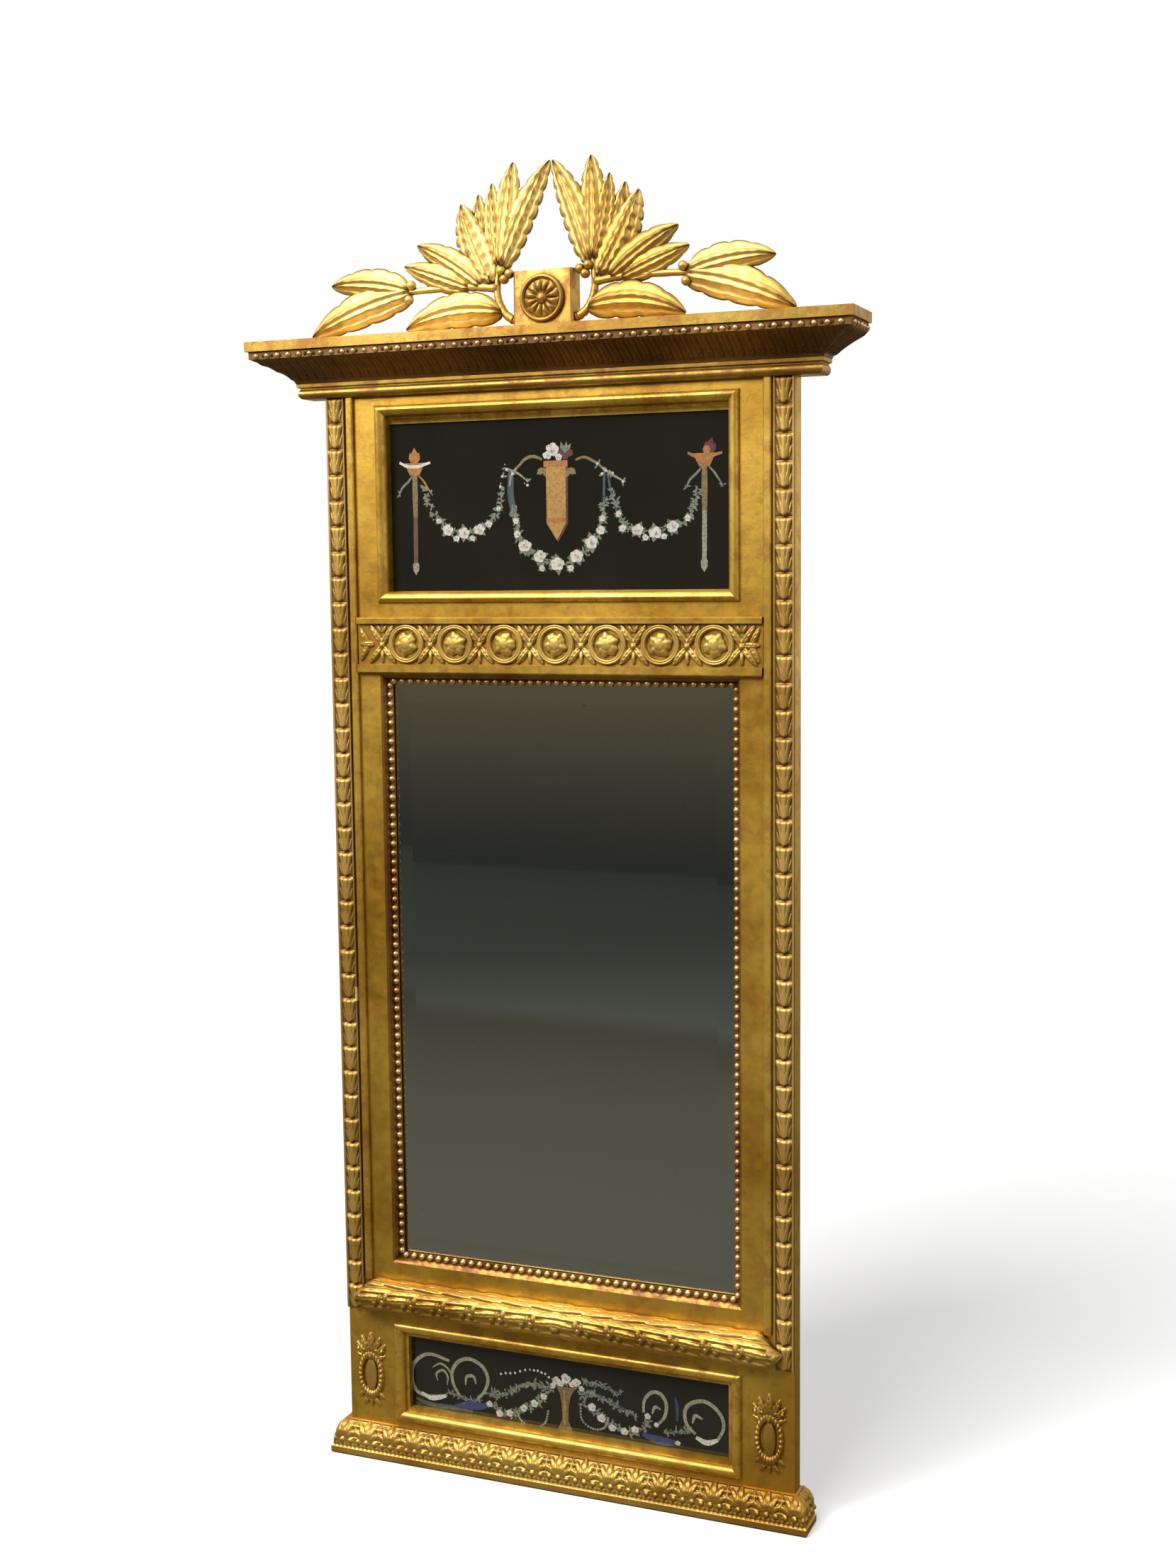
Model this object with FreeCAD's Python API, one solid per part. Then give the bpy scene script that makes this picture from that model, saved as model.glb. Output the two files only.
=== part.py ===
import FreeCAD, Part
import math
import os

Vector = FreeCAD.Vector

# Gilt trumeau mirror. Millimetres, +Z up, origin at the middle of the footprint.
# Depths are counted forward from the wall plane; x is counted from the middle.

# Carcass: two stiles and four rails of one board thickness
BODY_HALF = 320.0
BOARD = 25.0
STILE_WIDTH = 70.0
OPENING_HALF = BODY_HALF - STILE_WIDTH
LOWER_OPENING = (53.0, 193.0)
MIRROR_OPENING = (278.0, 1083.0)
UPPER_OPENING = (1178.0, 1435.0)
CARCASS_TOP = 1506.0
TENON_LENGTH = 50.0
TENON_DEPTHS = (10.0, 18.0)
TENON_SHOULDER = 8.0
JOINT_GAP = 0.1

# Glass and boards held in each opening
REBATE = 8.0
REBATE_GAP = 0.3
BACKBOARD = 6.0
GLASS = 4.5
GLASS_GAP = 0.5
GLASS_FRONT = BACKBOARD + GLASS
BEVEL_WIDTH = 35.0
BEVEL_DROP = 2.4
PIN_RADIUS = 0.7
PIN_LENGTH = 14.0
PIN_INSET = 40.0
PIN_GAP = 0.05

# Mitred sections round the openings
LINER_WIDTH = 12.0
UPPER_WIDTH = 15.0
LOWER_WIDTH = 19.0
COVE_STRIP = 9.0
BEAD_PITCH = 12.5
BEAD_RADIUS = 3.4
BEAD_SIDES = 6
LINER_BEAD_OFFSET = 3.4
LINER_LEDGE = 13.5

# Applied strips on the stiles, set in from the outer edge of the stile
STRIP_TOP = 1447.0
STRIP_FRONT = 31.0
BAND_WIDTH = 26.0
BAND_X = (BODY_HALF - BAND_WIDTH, BODY_HALF)
BAND_BOTTOM = 207.0
BAND_GROUND = 28.0
BAND_CELL = 33.5
BAND_RIM = 2.5
BAND_LEAF_RISE = 4.2
FILLET_WIDTH = 10.0
FILLET_TO_BAND = 3.0
FILLET_X = (BAND_X[0] - FILLET_TO_BAND - FILLET_WIDTH, BAND_X[0] - FILLET_TO_BAND)
FILLET_BOTTOM = 252.0

# Frieze between the mirror and the upper panel
FRIEZE_GAP = 1.0
FRIEZE_HALF = FILLET_X[0] - FRIEZE_GAP
FRIEZE_GROUND = 28.0
FRIEZE_FRONT = 33.0
FRIEZE_Z = (1086.0, 1097.0, 1151.0, 1159.0)
RING_PITCH = 71.0
RING_COUNT = int(2 * FRIEZE_HALF // RING_PITCH)
RING_SHIFT = 5.0
RING_Z = 1124.5
RING_RADIUS = 26.0
RING_BAND = 7.0
BOSS_RADIUS = 14.5
RELIEF = 35.0

# Laurel torus over the lower panel
TORUS_Z = 231.0
TORUS_HALF_HEIGHT = 21.0
TORUS_FRONT = 50.0
TORUS_LAP = 14.0
TORUS_HALF = BAND_X[0] + TORUS_LAP
TORUS_TO_BAND = 0.3
TORUS_FLATS = 12
TORUS_LEAF_PITCH = 44.0
TORUS_LEAF_ANGLES = (32.0, 78.0, 124.0)

# Cartouches on the lower ends of the stiles
CARTOUCHE_INSET = 33.0
CARTOUCHE_X = BODY_HALF - CARTOUCHE_INSET
CARTOUCHE_Z = 113.0
CARTOUCHE_RADII = (19.0, 35.0)
CARTOUCHE_BAND = 8.0

# Plinth moulding and cornice, both counted out from the seat they are planted on
PLINTH_REACH = 22.0
PLINTH_TOP = 46.0
PLINTH_LEAF_PITCH = 36.0
CORNICE_SEAT = BODY_HALF + BOARD
CORNICE_BOTTOM = STRIP_TOP
CAVETTO_BOTTOM = 1466.0
CAVETTO_TOP = 1496.0
CAVETTO_IN = 13.5
CAVETTO_OUT = 57.0
RIB_PITCH = 13.0
TOP_BOARD_REACH = 62.0
TOP_BOARD_TOP = 1518.5
CORNICE_BEAD_RADIUS = 2.9
CORNICE_BEAD_Z = 1499.8

# Crest
BLOCK_HALF = 40.3
BLOCK_TOP = 1590.0
BLOCK_DEPTHS = (20.0, 45.0)
ROSETTE_Z = 1555.0
ROSETTE_RADIUS = 29.5
DOWEL_RADIUS = 3.0
DOWEL_GAP = 0.05

# Strap hangers in pockets in the back of the stiles
HANGER_INSET = 35.0
HANGER_X = BODY_HALF - HANGER_INSET
HANGER_Z = 1380.0
HANGER_AXIS_DEPTH = 5.4
POCKET_HALF = 17.0
POCKET_BELOW = 48.0
POCKET_ABOVE = 23.0
POCKET_DEPTH = 9.0
STRAP_THICKNESS = 1.2
STRAP_HALF = 7.0
STRAP_LENGTH = 45.0
WIRE_RADIUS = 1.5
WIRE_GAP = 0.05
KNUCKLE_RADIUS = WIRE_RADIUS + WIRE_GAP + STRAP_THICKNESS
SCREW_DROPS = (26.0, 39.0)
SCREW_LENGTH = 12.0
RING_PATH = ((-14.0, 0.0), (-14.0, -6.0), (-11.0, -14.0), (-5.0, -18.5),
             (5.0, -18.5), (11.0, -14.0), (14.0, -6.0), (14.0, 0.0))

DEPTH = BOARD + TOP_BOARD_REACH
WALL_Y = DEPTH / 2

# Share of the length and share of the full width at each station of a carved leaf
LEAF_STATIONS = ((0.0, 0.3), (0.3, 0.92), (0.62, 0.85))
LONG_LEAF_STATIONS = ((0.0, 0.3), (0.2, 0.82), (0.45, 1.0), (0.75, 0.66))


# ---- helpers -----------------------------------------------------------------

def y_at(depth):
    return WALL_Y - depth


def at(x, depth, z):
    return Vector(x, y_at(depth), z)


def box(x0, x1, depth0, depth1, z0, z1):
    return Part.makeBox(x1 - x0, depth1 - depth0, z1 - z0, at(x0, depth1, z0))


def outline(steps, place):
    """Face inside a closed outline. A step is a point, or a (middle, end) pair for an arc."""
    edges = []
    here = steps[0]
    for step in steps[1:] + steps[:1]:
        if isinstance(step[0], tuple):
            middle, there = step
            edges.append(Part.Arc(place(*here), place(*middle), place(*there)).toShape())
        else:
            there = step
            if there != here:
                edges.append(Part.makeLine(place(*here), place(*there)))
        here = there
    return Part.Face(Part.Wire(edges))


def plan_prism(corners, z0, z1):
    """Upright prism over (x, depth) corners."""
    face = outline(corners, lambda x, depth: at(x, depth, z0))
    return face.extrude(Vector(0, 0, z1 - z0))


def front_prism(corners, depth0, depth1):
    """Prism over (x, z) corners, from one depth to another."""
    face = outline(corners, lambda x, z: at(x, depth0, z))
    return face.extrude(Vector(0, depth0 - depth1, 0))


def mirrored(shape):
    return shape.mirror(Vector(0, 0, 0), Vector(1, 0, 0))


def facet_solid(rings, closed=False):
    """Solid with flat three-sided facets through rings of points. An end ring may be one point."""
    faces = []

    def facet(a, b, c):
        faces.append(Part.Face(Part.makePolygon([a, b, c, a])))

    following = rings[1:] + (rings[:1] if closed else [])
    for lower, upper in zip(rings, following):
        count = max(len(lower), len(upper))
        for i in range(count):
            j = (i + 1) % count
            if len(upper) > 1:
                facet(lower[i % len(lower)], upper[i], upper[j])
            if len(lower) > 1:
                facet(lower[i], lower[j], upper[j % len(upper)])
    for ring in [] if closed else (rings[0], rings[-1]):
        for i in range(1, len(ring) - 1):
            facet(ring[0], ring[i], ring[i + 1])
    solid = Part.makeSolid(Part.makeShell(faces))
    if solid.Volume < 0:
        solid.reverse()
    return solid


def ring_points(centre, across, up, radii, sides):
    """Points evenly round an oval."""
    points = []
    for i in range(sides):
        turn = 2 * math.pi * i / sides
        points.append(centre + across * (radii[0] * math.cos(turn)) + up * (radii[1] * math.sin(turn)))
    return points


def rod(start, direction, length, radius, sides):
    """Many-sided pin or hole."""
    across = direction.cross(Vector(0, 1, 0)) if abs(direction.y) < 0.5 else Vector(1, 0, 0)
    up = across.cross(direction)
    ends = [ring_points(start + direction * reach, across, up, (radius, radius), sides) for reach in (0, length)]
    return facet_solid(ends).removeSplitter()


def carved_leaf(place, length, width, rise, sink=0.0, stations=LEAF_STATIONS):
    """Pointed leaf with a raised midrib. place(along, across, height) gives each point."""
    rings = []
    for share, girth in stations:
        along = length * share
        half = width / 2 * girth
        ring = [place(along, -half, 0), place(along, 0, rise * girth), place(along, half, 0)]
        if sink:
            ring.append(place(along, 0, -sink * girth))
        rings.append(ring)
    rings.append([place(length, 0, 0)])
    return facet_solid(rings)


def relief_leaf(start, end, ground, width, rise):
    """Flat-backed leaf planted on a board face, between two (x, z) points."""
    foot = at(start[0], ground, start[1])
    run = at(end[0], ground, end[1]) - foot
    along = Vector(run).normalize()
    out = Vector(0, -1, 0)
    side = along.cross(out)
    return carved_leaf(lambda u, v, h: foot + along * u + side * v + out * h, run.Length, width, rise)


def free_leaf(start, end, width, rise, bend):
    """Leaf standing free between two (x, depth, z) points; bend bows it sideways."""
    foot = at(*start)
    run = at(*end) - foot
    length = run.Length
    along = Vector(run).normalize()
    side = along.cross(Vector(0, -1, 0)).normalize()
    out = side.cross(along)

    def place(u, v, h):
        share = u / length
        return foot + along * u + side * (v - bend * 4 * share * (1 - share)) + out * h

    return carved_leaf(place, length, width, rise, rise * 0.45, LONG_LEAF_STATIONS)


def dome(centre, across, up, out, radii, height, sides, levels=((1.0, 0.0), (0.72, 0.68))):
    """Faceted dome: an oval foot, a shoulder and a tip."""
    rings = []
    for share, level in levels:
        size = (radii[0] * share, radii[1] * share)
        rings.append(ring_points(centre + out * (height * level), across, up, size, sides))
    rings.append([centre + out * height])
    return facet_solid(rings)


def bead(centre, across, up, out, radius):
    """Pointed core of one bead in a string."""
    return dome(centre, across, up, out, (radius, radius), radius + 0.4, BEAD_SIDES, ((1.0, 0.0),))


def front_dome(x, z, depth, radii, height, sides):
    return dome(at(x, depth, z), Vector(1, 0, 0), Vector(0, 0, 1), Vector(0, -1, 0), radii, height, sides)


def oval_ring(x, z, radii, band, depth0, depth1, sides):
    """Raised oval band with a ridge, planted at depth0."""
    rings = []
    for i in range(sides):
        turn = 2 * math.pi * i / sides
        ring = []
        for inset, depth in ((0.0, depth0), (band * 0.3, depth1), (band * 0.7, depth1), (band, depth0)):
            ring.append(at(x + (radii[0] - inset) * math.cos(turn), depth,
                           z + (radii[1] - inset) * math.sin(turn)))
        rings.append(ring)
    return facet_solid(rings, closed=True)


def spaced(start, end, pitch):
    """Even places between two ends, half a step in from each."""
    count = int(round((end - start) / pitch))
    step = (end - start) / count
    return [start + step * (i + 0.5) for i in range(count)]


def save(name, shape):
    shape.exportStep("parts/%s.step" % name)


# ---- carcass -----------------------------------------------------------------

OPENINGS = (LOWER_OPENING, MIRROR_OPENING, UPPER_OPENING)
RAILS = {
    "bottom_rail": (0.0, LOWER_OPENING[0]),
    "lower_rail": (LOWER_OPENING[1], MIRROR_OPENING[0]),
    "frieze_rail": (MIRROR_OPENING[1], UPPER_OPENING[0]),
    "top_rail": (UPPER_OPENING[1], CARCASS_TOP),
}


def backboard(opening, gap):
    half = OPENING_HALF + REBATE - gap
    return box(-half, half, 0, BACKBOARD, opening[0] - REBATE + gap, opening[1] + REBATE - gap)


def pin_places(opening):
    lip = REBATE / 2
    places = []
    for side in (-1, 1):
        places.append((side * (OPENING_HALF + lip), opening[0] + PIN_INSET))
        places.append((side * (OPENING_HALF + lip), opening[1] - PIN_INSET))
        places.append((side * OPENING_HALF / 2, opening[0] - lip))
        places.append((side * OPENING_HALF / 2, opening[1] + lip))
    return places


def backboard_pins(gap):
    pins = []
    for opening in OPENINGS:
        for x, z in pin_places(opening):
            pins.append(rod(at(x, 0, z), Vector(0, -1, 0), PIN_LENGTH + gap, PIN_RADIUS + gap, 6))
    return Part.makeCompound(pins)


def rail(z0, z1):
    tenon_z = (z0 + TENON_SHOULDER, z1 - TENON_SHOULDER)
    reach = OPENING_HALF + TENON_LENGTH
    body = box(-OPENING_HALF, OPENING_HALF, 0, BOARD, z0, z1)
    tenons = box(-reach, reach, TENON_DEPTHS[0], TENON_DEPTHS[1], tenon_z[0], tenon_z[1])
    rebates = Part.makeCompound([backboard(opening, 0.0) for opening in OPENINGS])
    return body.fuse(tenons).cut(rebates).cut(backboard_pins(PIN_GAP))


def stile_right():
    body = box(OPENING_HALF, BODY_HALF, 0, BOARD, 0, CARCASS_TOP)
    cuts = [backboard(opening, 0.0) for opening in OPENINGS]
    for z0, z1 in RAILS.values():
        cuts.append(box(OPENING_HALF, OPENING_HALF + TENON_LENGTH + JOINT_GAP,
                        TENON_DEPTHS[0] - JOINT_GAP, TENON_DEPTHS[1] + JOINT_GAP,
                        z0 + TENON_SHOULDER - JOINT_GAP, z1 - TENON_SHOULDER + JOINT_GAP))
    cuts.append(box(HANGER_X - POCKET_HALF, HANGER_X + POCKET_HALF, 0, POCKET_DEPTH,
                    HANGER_Z - POCKET_BELOW, HANGER_Z + POCKET_ABOVE))
    cuts += [hanger_screw(drop, WIRE_GAP) for drop in SCREW_DROPS]
    return body.cut(Part.makeCompound(cuts)).cut(backboard_pins(PIN_GAP))


# ---- glass and boards ----------------------------------------------------------

def plain_glass(opening):
    half = OPENING_HALF - GLASS_GAP
    return box(-half, half, BACKBOARD, GLASS_FRONT, opening[0] + GLASS_GAP, opening[1] - GLASS_GAP)


def mirror_plate():
    half = OPENING_HALF - GLASS_GAP
    z0 = MIRROR_OPENING[0] + GLASS_GAP
    z1 = MIRROR_OPENING[1] - GLASS_GAP
    rings = []
    for inset, depth in ((0, BACKBOARD), (0, GLASS_FRONT - BEVEL_DROP), (BEVEL_WIDTH, GLASS_FRONT)):
        rings.append([at(-half + inset, depth, z0 + inset), at(half - inset, depth, z0 + inset),
                      at(half - inset, depth, z1 - inset), at(-half + inset, depth, z1 - inset)])
    return facet_solid(rings).removeSplitter()


# ---- mitred sections round the openings ------------------------------------------

def mitred_member(side, opening, width, profile):
    """One side of a mitred frame. The profile is (offset out from the sight edge, depth)."""
    half = OPENING_HALF - width
    low = opening[0] + width
    high = opening[1] - width
    outer = ((-OPENING_HALF, opening[0]), (OPENING_HALF, opening[0]),
             (OPENING_HALF, opening[1]), (-OPENING_HALF, opening[1]))
    inner = ((-half, low), (half, low), (half, high), (-half, high))
    across = Vector(2 * OPENING_HALF, 0, 0)
    upright = Vector(0, 0, opening[1] - opening[0])
    order = ("bottom", "right", "top", "left").index(side)
    place, run = (
        (lambda o, depth: at(-OPENING_HALF, depth, low - o), across),
        (lambda o, depth: at(half + o, depth, opening[0]), upright),
        (lambda o, depth: at(-OPENING_HALF, depth, high + o), across),
        (lambda o, depth: at(-half - o, depth, opening[0]), upright),
    )[order]
    after = (order + 1) % 4
    mitre = front_prism([outer[order], outer[after], inner[after], inner[order]], 0, DEPTH)
    return outline(profile, place).extrude(run).common(mitre)


def mirror_liner(side):
    """Rebated liner with a string of beads near the glass."""
    profile = [(0, GLASS_FRONT), (0, LINER_LEDGE), (6.8, LINER_LEDGE), (7.6, 18.0),
               (9.2, 23.2), (LINER_WIDTH, BOARD), (LINER_WIDTH, GLASS_FRONT)]
    bar = mitred_member(side, MIRROR_OPENING, LINER_WIDTH, profile)
    sight_half = OPENING_HALF - LINER_WIDTH + LINER_BEAD_OFFSET
    low = MIRROR_OPENING[0] + LINER_WIDTH - LINER_BEAD_OFFSET
    high = MIRROR_OPENING[1] - LINER_WIDTH + LINER_BEAD_OFFSET
    if side in ("bottom", "top"):
        level = low if side == "bottom" else high
        places = [(x, level) for x in spaced(-sight_half, sight_half, BEAD_PITCH)]
    else:
        edge = sight_half if side == "right" else -sight_half
        places = [(edge, z) for z in spaced(low, high, BEAD_PITCH)]
    beads = [bead(at(x, LINER_LEDGE - 0.3, z), Vector(1, 0, 0), Vector(0, 0, 1), Vector(0, -1, 0), BEAD_RADIUS)
             for x, z in places]
    return bar.fuse(beads)


def upper_moulding(side):
    profile = [(0, GLASS_FRONT), (0, 19.0), ((2.6, 27.4), (8.6, 31.0)),
               ((13.2, 29.2), (UPPER_WIDTH, BOARD)), (UPPER_WIDTH, GLASS_FRONT)]
    return mitred_member(side, UPPER_OPENING, UPPER_WIDTH, profile)


def upper_cove_strip():
    half = OPENING_HALF - UPPER_WIDTH
    top = UPPER_OPENING[1] - UPPER_WIDTH
    profile = [(GLASS_FRONT, top), (GLASS_FRONT, top - COVE_STRIP), (14.0, top - COVE_STRIP),
               ((15.4, top - 4.6), (19.0, top - 1.5)), (19.0, top)]
    face = outline(profile, lambda depth, z: at(-half, depth, z))
    return face.extrude(Vector(2 * half, 0, 0))


def lower_moulding(side):
    profile = [(0, GLASS_FRONT), (0, 20.5), (5.0, 20.5), (5.0, 22.5), ((7.6, 28.0), (13.0, 30.5)),
               ((17.0, 29.3), (LOWER_WIDTH, BOARD)), (LOWER_WIDTH, GLASS_FRONT)]
    return mitred_member(side, LOWER_OPENING, LOWER_WIDTH, profile)


# ---- applied strips on the stiles --------------------------------------------------

def fillet_right():
    x0, x1 = FILLET_X
    corners = [(x0, BOARD), (x1, BOARD), (x1, STRIP_FRONT - 1.5), (x1 - 1.5, STRIP_FRONT),
               (x0 + 1.5, STRIP_FRONT), (x0, STRIP_FRONT - 1.5)]
    return plan_prism(corners, FILLET_BOTTOM, STRIP_TOP)


def carved_band_right():
    """Strip with a raised rim each side and a column of leaf buds between cross ties."""
    x0, x1 = BAND_X
    middle = (x0 + x1) / 2
    corners = [(x0, BOARD), (x1, BOARD), (x1, STRIP_FRONT), (x1 - BAND_RIM, STRIP_FRONT),
               (x1 - BAND_RIM, BAND_GROUND), (x0 + BAND_RIM, BAND_GROUND),
               (x0 + BAND_RIM, STRIP_FRONT - 1), (x0, STRIP_FRONT - 1)]
    strip = plan_prism(corners, BAND_BOTTOM, STRIP_TOP)
    carving = []
    half = BAND_CELL / 2
    for centre in spaced(BAND_BOTTOM, STRIP_TOP, BAND_CELL):
        carving.append(relief_leaf((middle, centre - half + 5), (middle, centre + half - 0.3),
                                   BAND_GROUND - 0.2, 15.0, BAND_LEAF_RISE))
        carving.append(box(x0 + BAND_RIM, x1 - BAND_RIM, BAND_GROUND, BAND_GROUND + 2,
                           centre - half + 0.8, centre - half + 4.6))
    return strip.fuse(carving)


# ---- frieze ----------------------------------------------------------------------

def frieze_board():
    z0, z1, z2, z3 = FRIEZE_Z
    profile = [(BOARD, z0), (FRIEZE_FRONT - 1.5, z0), (FRIEZE_FRONT, z0 + 1.5), (FRIEZE_FRONT, z1),
               (FRIEZE_GROUND, z1), (FRIEZE_GROUND, z2), (FRIEZE_FRONT, z2),
               (FRIEZE_FRONT, z3 - 1.5), (FRIEZE_FRONT - 1.5, z3), (BOARD, z3)]
    face = outline(profile, lambda depth, z: at(-FRIEZE_HALF, depth, z))
    return face.extrude(Vector(2 * FRIEZE_HALF, 0, 0))


def guilloche_ornament():
    """Row of rings with a domed boss in each, tied by crossed leaves."""
    rise = RELIEF - FRIEZE_GROUND
    first = RING_SHIFT - RING_PITCH * (RING_COUNT - 1) / 2
    rings = []
    leaves = []
    for i in range(RING_COUNT):
        x = first + RING_PITCH * i
        rings.append(oval_ring(x, RING_Z, (RING_RADIUS, RING_RADIUS), RING_BAND,
                               FRIEZE_GROUND, FRIEZE_GROUND + 4.5, 20))
        rings.append(front_dome(x, RING_Z, FRIEZE_GROUND, (BOSS_RADIUS, BOSS_RADIUS), rise, 12))
    for i in range(RING_COUNT + 1):
        x = first + RING_PITCH * (i - 0.5)
        for side in (-1, 1):
            if abs(x + side * RING_PITCH / 4) > FRIEZE_HALF - 12:
                continue
            leaves.append(relief_leaf((x - side * 4, RING_Z - 4), (x + side * 16, FRIEZE_Z[2] - 2),
                                      FRIEZE_GROUND, 10.0, rise - 1))
            leaves.append(relief_leaf((x - side * 4, RING_Z + 4), (x + side * 16, FRIEZE_Z[1] + 3),
                                      FRIEZE_GROUND, 10.0, rise - 1.5))
    return Part.makeCompound(rings + leaves[0].fuse(leaves[1:]).Solids)


# ---- laurel torus and cartouches ----------------------------------------------------

def laurel_torus():
    """Half-round bar; its rounded ends lap over the inner half of the carved bands."""
    low = TORUS_Z - TORUS_HALF_HEIGHT
    high = TORUS_Z + TORUS_HALF_HEIGHT
    bulge = TORUS_FRONT - BOARD
    radius = (TORUS_HALF_HEIGHT ** 2 + bulge ** 2) / (2 * bulge)
    axis_depth = TORUS_FRONT - radius
    profile = [(BOARD, low)]
    for i in range(TORUS_FLATS + 1):
        turn = math.pi * (1 - i / TORUS_FLATS)
        profile.append((axis_depth + radius * math.sin(turn), TORUS_Z + radius * math.cos(turn)))
    profile.append((BOARD, high))
    face = outline(profile, lambda depth, z: at(-TORUS_HALF, depth, z))
    bar = face.extrude(Vector(2 * TORUS_HALF, 0, 0))
    leaves = []
    for row, angle in enumerate(TORUS_LEAF_ANGLES):
        for side in (-1, 1):
            x = TORUS_LEAF_PITCH * (0.15 + 0.33 * row)
            while x + TORUS_LEAF_PITCH * 1.35 < BAND_X[0]:
                def place(u, v, h, start=x, way=side, centre=math.radians(angle)):
                    turn = centre + v / radius
                    reach = radius + h - 0.3
                    return at(way * (start + u), axis_depth + reach * math.sin(turn),
                              TORUS_Z + reach * math.cos(turn))
                leaves.append(carved_leaf(place, TORUS_LEAF_PITCH * 1.3, 15.0, 3.0, 4.0))
                x += TORUS_LEAF_PITCH
    # A round end, as insets from the bar's end: (inset, height above the axis), then (inset, depth)
    front_ends = ((21.0, 24.0), (8.0, 13.0), (1.0, 1.0), (0.0, -8.0), (5.0, -17.0), (14.0, -25.0))
    plan_ends = ((0.0, BOARD), (0.0, 33.0), (2.5, 41.0), (8.0, 47.0), (18.0, TORUS_FRONT + 4.0))
    face_ends = [(TORUS_HALF - inset, TORUS_Z + rise) for inset, rise in front_ends]
    sole_ends = [(TORUS_HALF - inset, depth) for inset, depth in plan_ends]
    bar = bar.fuse(leaves)
    bar = bar.common(front_prism(face_ends + [(-x, z) for x, z in face_ends[::-1]], 0, DEPTH))
    bar = bar.common(plan_prism(sole_ends + [(-x, depth) for x, depth in sole_ends[::-1]], low - 9, high + 9))
    behind = BAND_GROUND + BAND_LEAF_RISE + TORUS_TO_BAND
    for x0, x1 in ((-TORUS_HALF, -BAND_X[0]), (BAND_X[0], TORUS_HALF)):
        bar = bar.cut(box(x0, x1, 0, behind, BAND_BOTTOM, high + 9))
    return bar


def cartouche_right():
    """Oval wreath round a plain boss, with a three-leaved crown and a drop."""
    x = CARTOUCHE_X
    z = CARTOUCHE_Z
    boss = tuple(radius - CARTOUCHE_BAND - 2 for radius in CARTOUCHE_RADII)
    pieces = [
        oval_ring(x, z, CARTOUCHE_RADII, CARTOUCHE_BAND, BOARD, BOARD + 6.5, 20),
        front_dome(x, z, BOARD, boss, 4.0, 12),
        relief_leaf((x, z + 30), (x, z + 60), BOARD, 15.0, 7.0),
        relief_leaf((x - 4, z + 27), (x - 20, z + 52), BOARD, 13.0, 6.0),
        relief_leaf((x + 4, z + 27), (x + 20, z + 52), BOARD, 13.0, 6.0),
        relief_leaf((x - 3, z - 29), (x - 15, z - 44), BOARD, 9.0, 5.0),
        relief_leaf((x + 3, z - 29), (x + 15, z - 44), BOARD, 9.0, 5.0),
    ]
    return pieces[0].fuse(pieces[1:])


# ---- mouldings planted round the front and both sides --------------------------------

def run_place(side, seat_half):
    """place(along, out, z) for a front run or a return of a moulding round the body."""
    if side == "front":
        return lambda along, out, z: at(along, BOARD + out, z)
    way = 1 if side == "right" else -1
    return lambda along, out, z: at(way * (seat_half + out), along, z)


def moulding_run(side, seat_half, reach, profile):
    """Front run or return, mitred at the corners. The profile is (out from the seat, z)."""
    zs = [step[-1][-1] if isinstance(step[0], tuple) else step[1] for step in profile]
    front = BOARD + reach
    if side == "front":
        run = Vector(2 * (seat_half + reach), 0, 0)
        start = -seat_half - reach
        corners = [(-seat_half, BOARD), (seat_half, BOARD), (seat_half + reach, front), (start, front)]
    else:
        run = Vector(0, -front, 0)
        start = 0.0
        way = 1 if side == "right" else -1
        corners = [(way * seat_half, 0), (way * (seat_half + reach), 0),
                   (way * (seat_half + reach), front), (way * seat_half, BOARD)]
    spot = run_place(side, seat_half)
    bar = outline(profile, lambda out, z: spot(start, out, z)).extrude(run)
    return bar.common(plan_prism(corners, min(zs) - 1, max(zs) + 1))


def run_places(side, seat_half, reach, pitch):
    """Even places of a repeated ornament on a run, clear of the mitres."""
    if side == "front":
        return spaced(-seat_half - reach / 2, seat_half + reach / 2, pitch)
    return spaced(0.0, BOARD + reach / 2, pitch)


def plinth(side):
    """Foot fillet and a convex slope with upright leaves."""

    def slope(degrees):
        turn = math.radians(degrees)
        return (PLINTH_REACH - 2.4) * math.cos(turn), 10.0 + 36.0 * math.sin(turn) ** 0.8

    profile = [(0, 0), (PLINTH_REACH - 2, 0), (PLINTH_REACH, 2), (PLINTH_REACH, 10)]
    profile += [slope(degrees) for degrees in (2, 12, 32, 52, 74)]
    profile += [(1.5, PLINTH_TOP), (0, PLINTH_TOP)]
    bar = moulding_run(side, BODY_HALF, PLINTH_REACH, profile)
    spot = run_place(side, BODY_HALF)
    leaves = []
    for middle in run_places(side, BODY_HALF, PLINTH_REACH - 8, PLINTH_LEAF_PITCH):
        def place(u, v, h, centre=middle):
            out, z = slope(12 + 62 * u / 36.0)
            return spot(centre + v, out + h - 0.2, z)
        leaves.append(carved_leaf(place, 36.0, 28.0, 2.4, 4.0))
    return bar.fuse(leaves)


def cornice_moulding(side):
    """Soffit, half round and fillet."""
    round_top = CORNICE_BOTTOM + 12.0
    profile = [(0, CORNICE_BOTTOM), (8.0, CORNICE_BOTTOM), ((12.0, CORNICE_BOTTOM + 6.0), (9.5, round_top)),
               (9.5, round_top + 1.5), (CAVETTO_IN, round_top + 3.0), (CAVETTO_IN, CAVETTO_BOTTOM),
               (0, CAVETTO_BOTTOM)]
    return moulding_run(side, CORNICE_SEAT, TOP_BOARD_REACH, profile)


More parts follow.
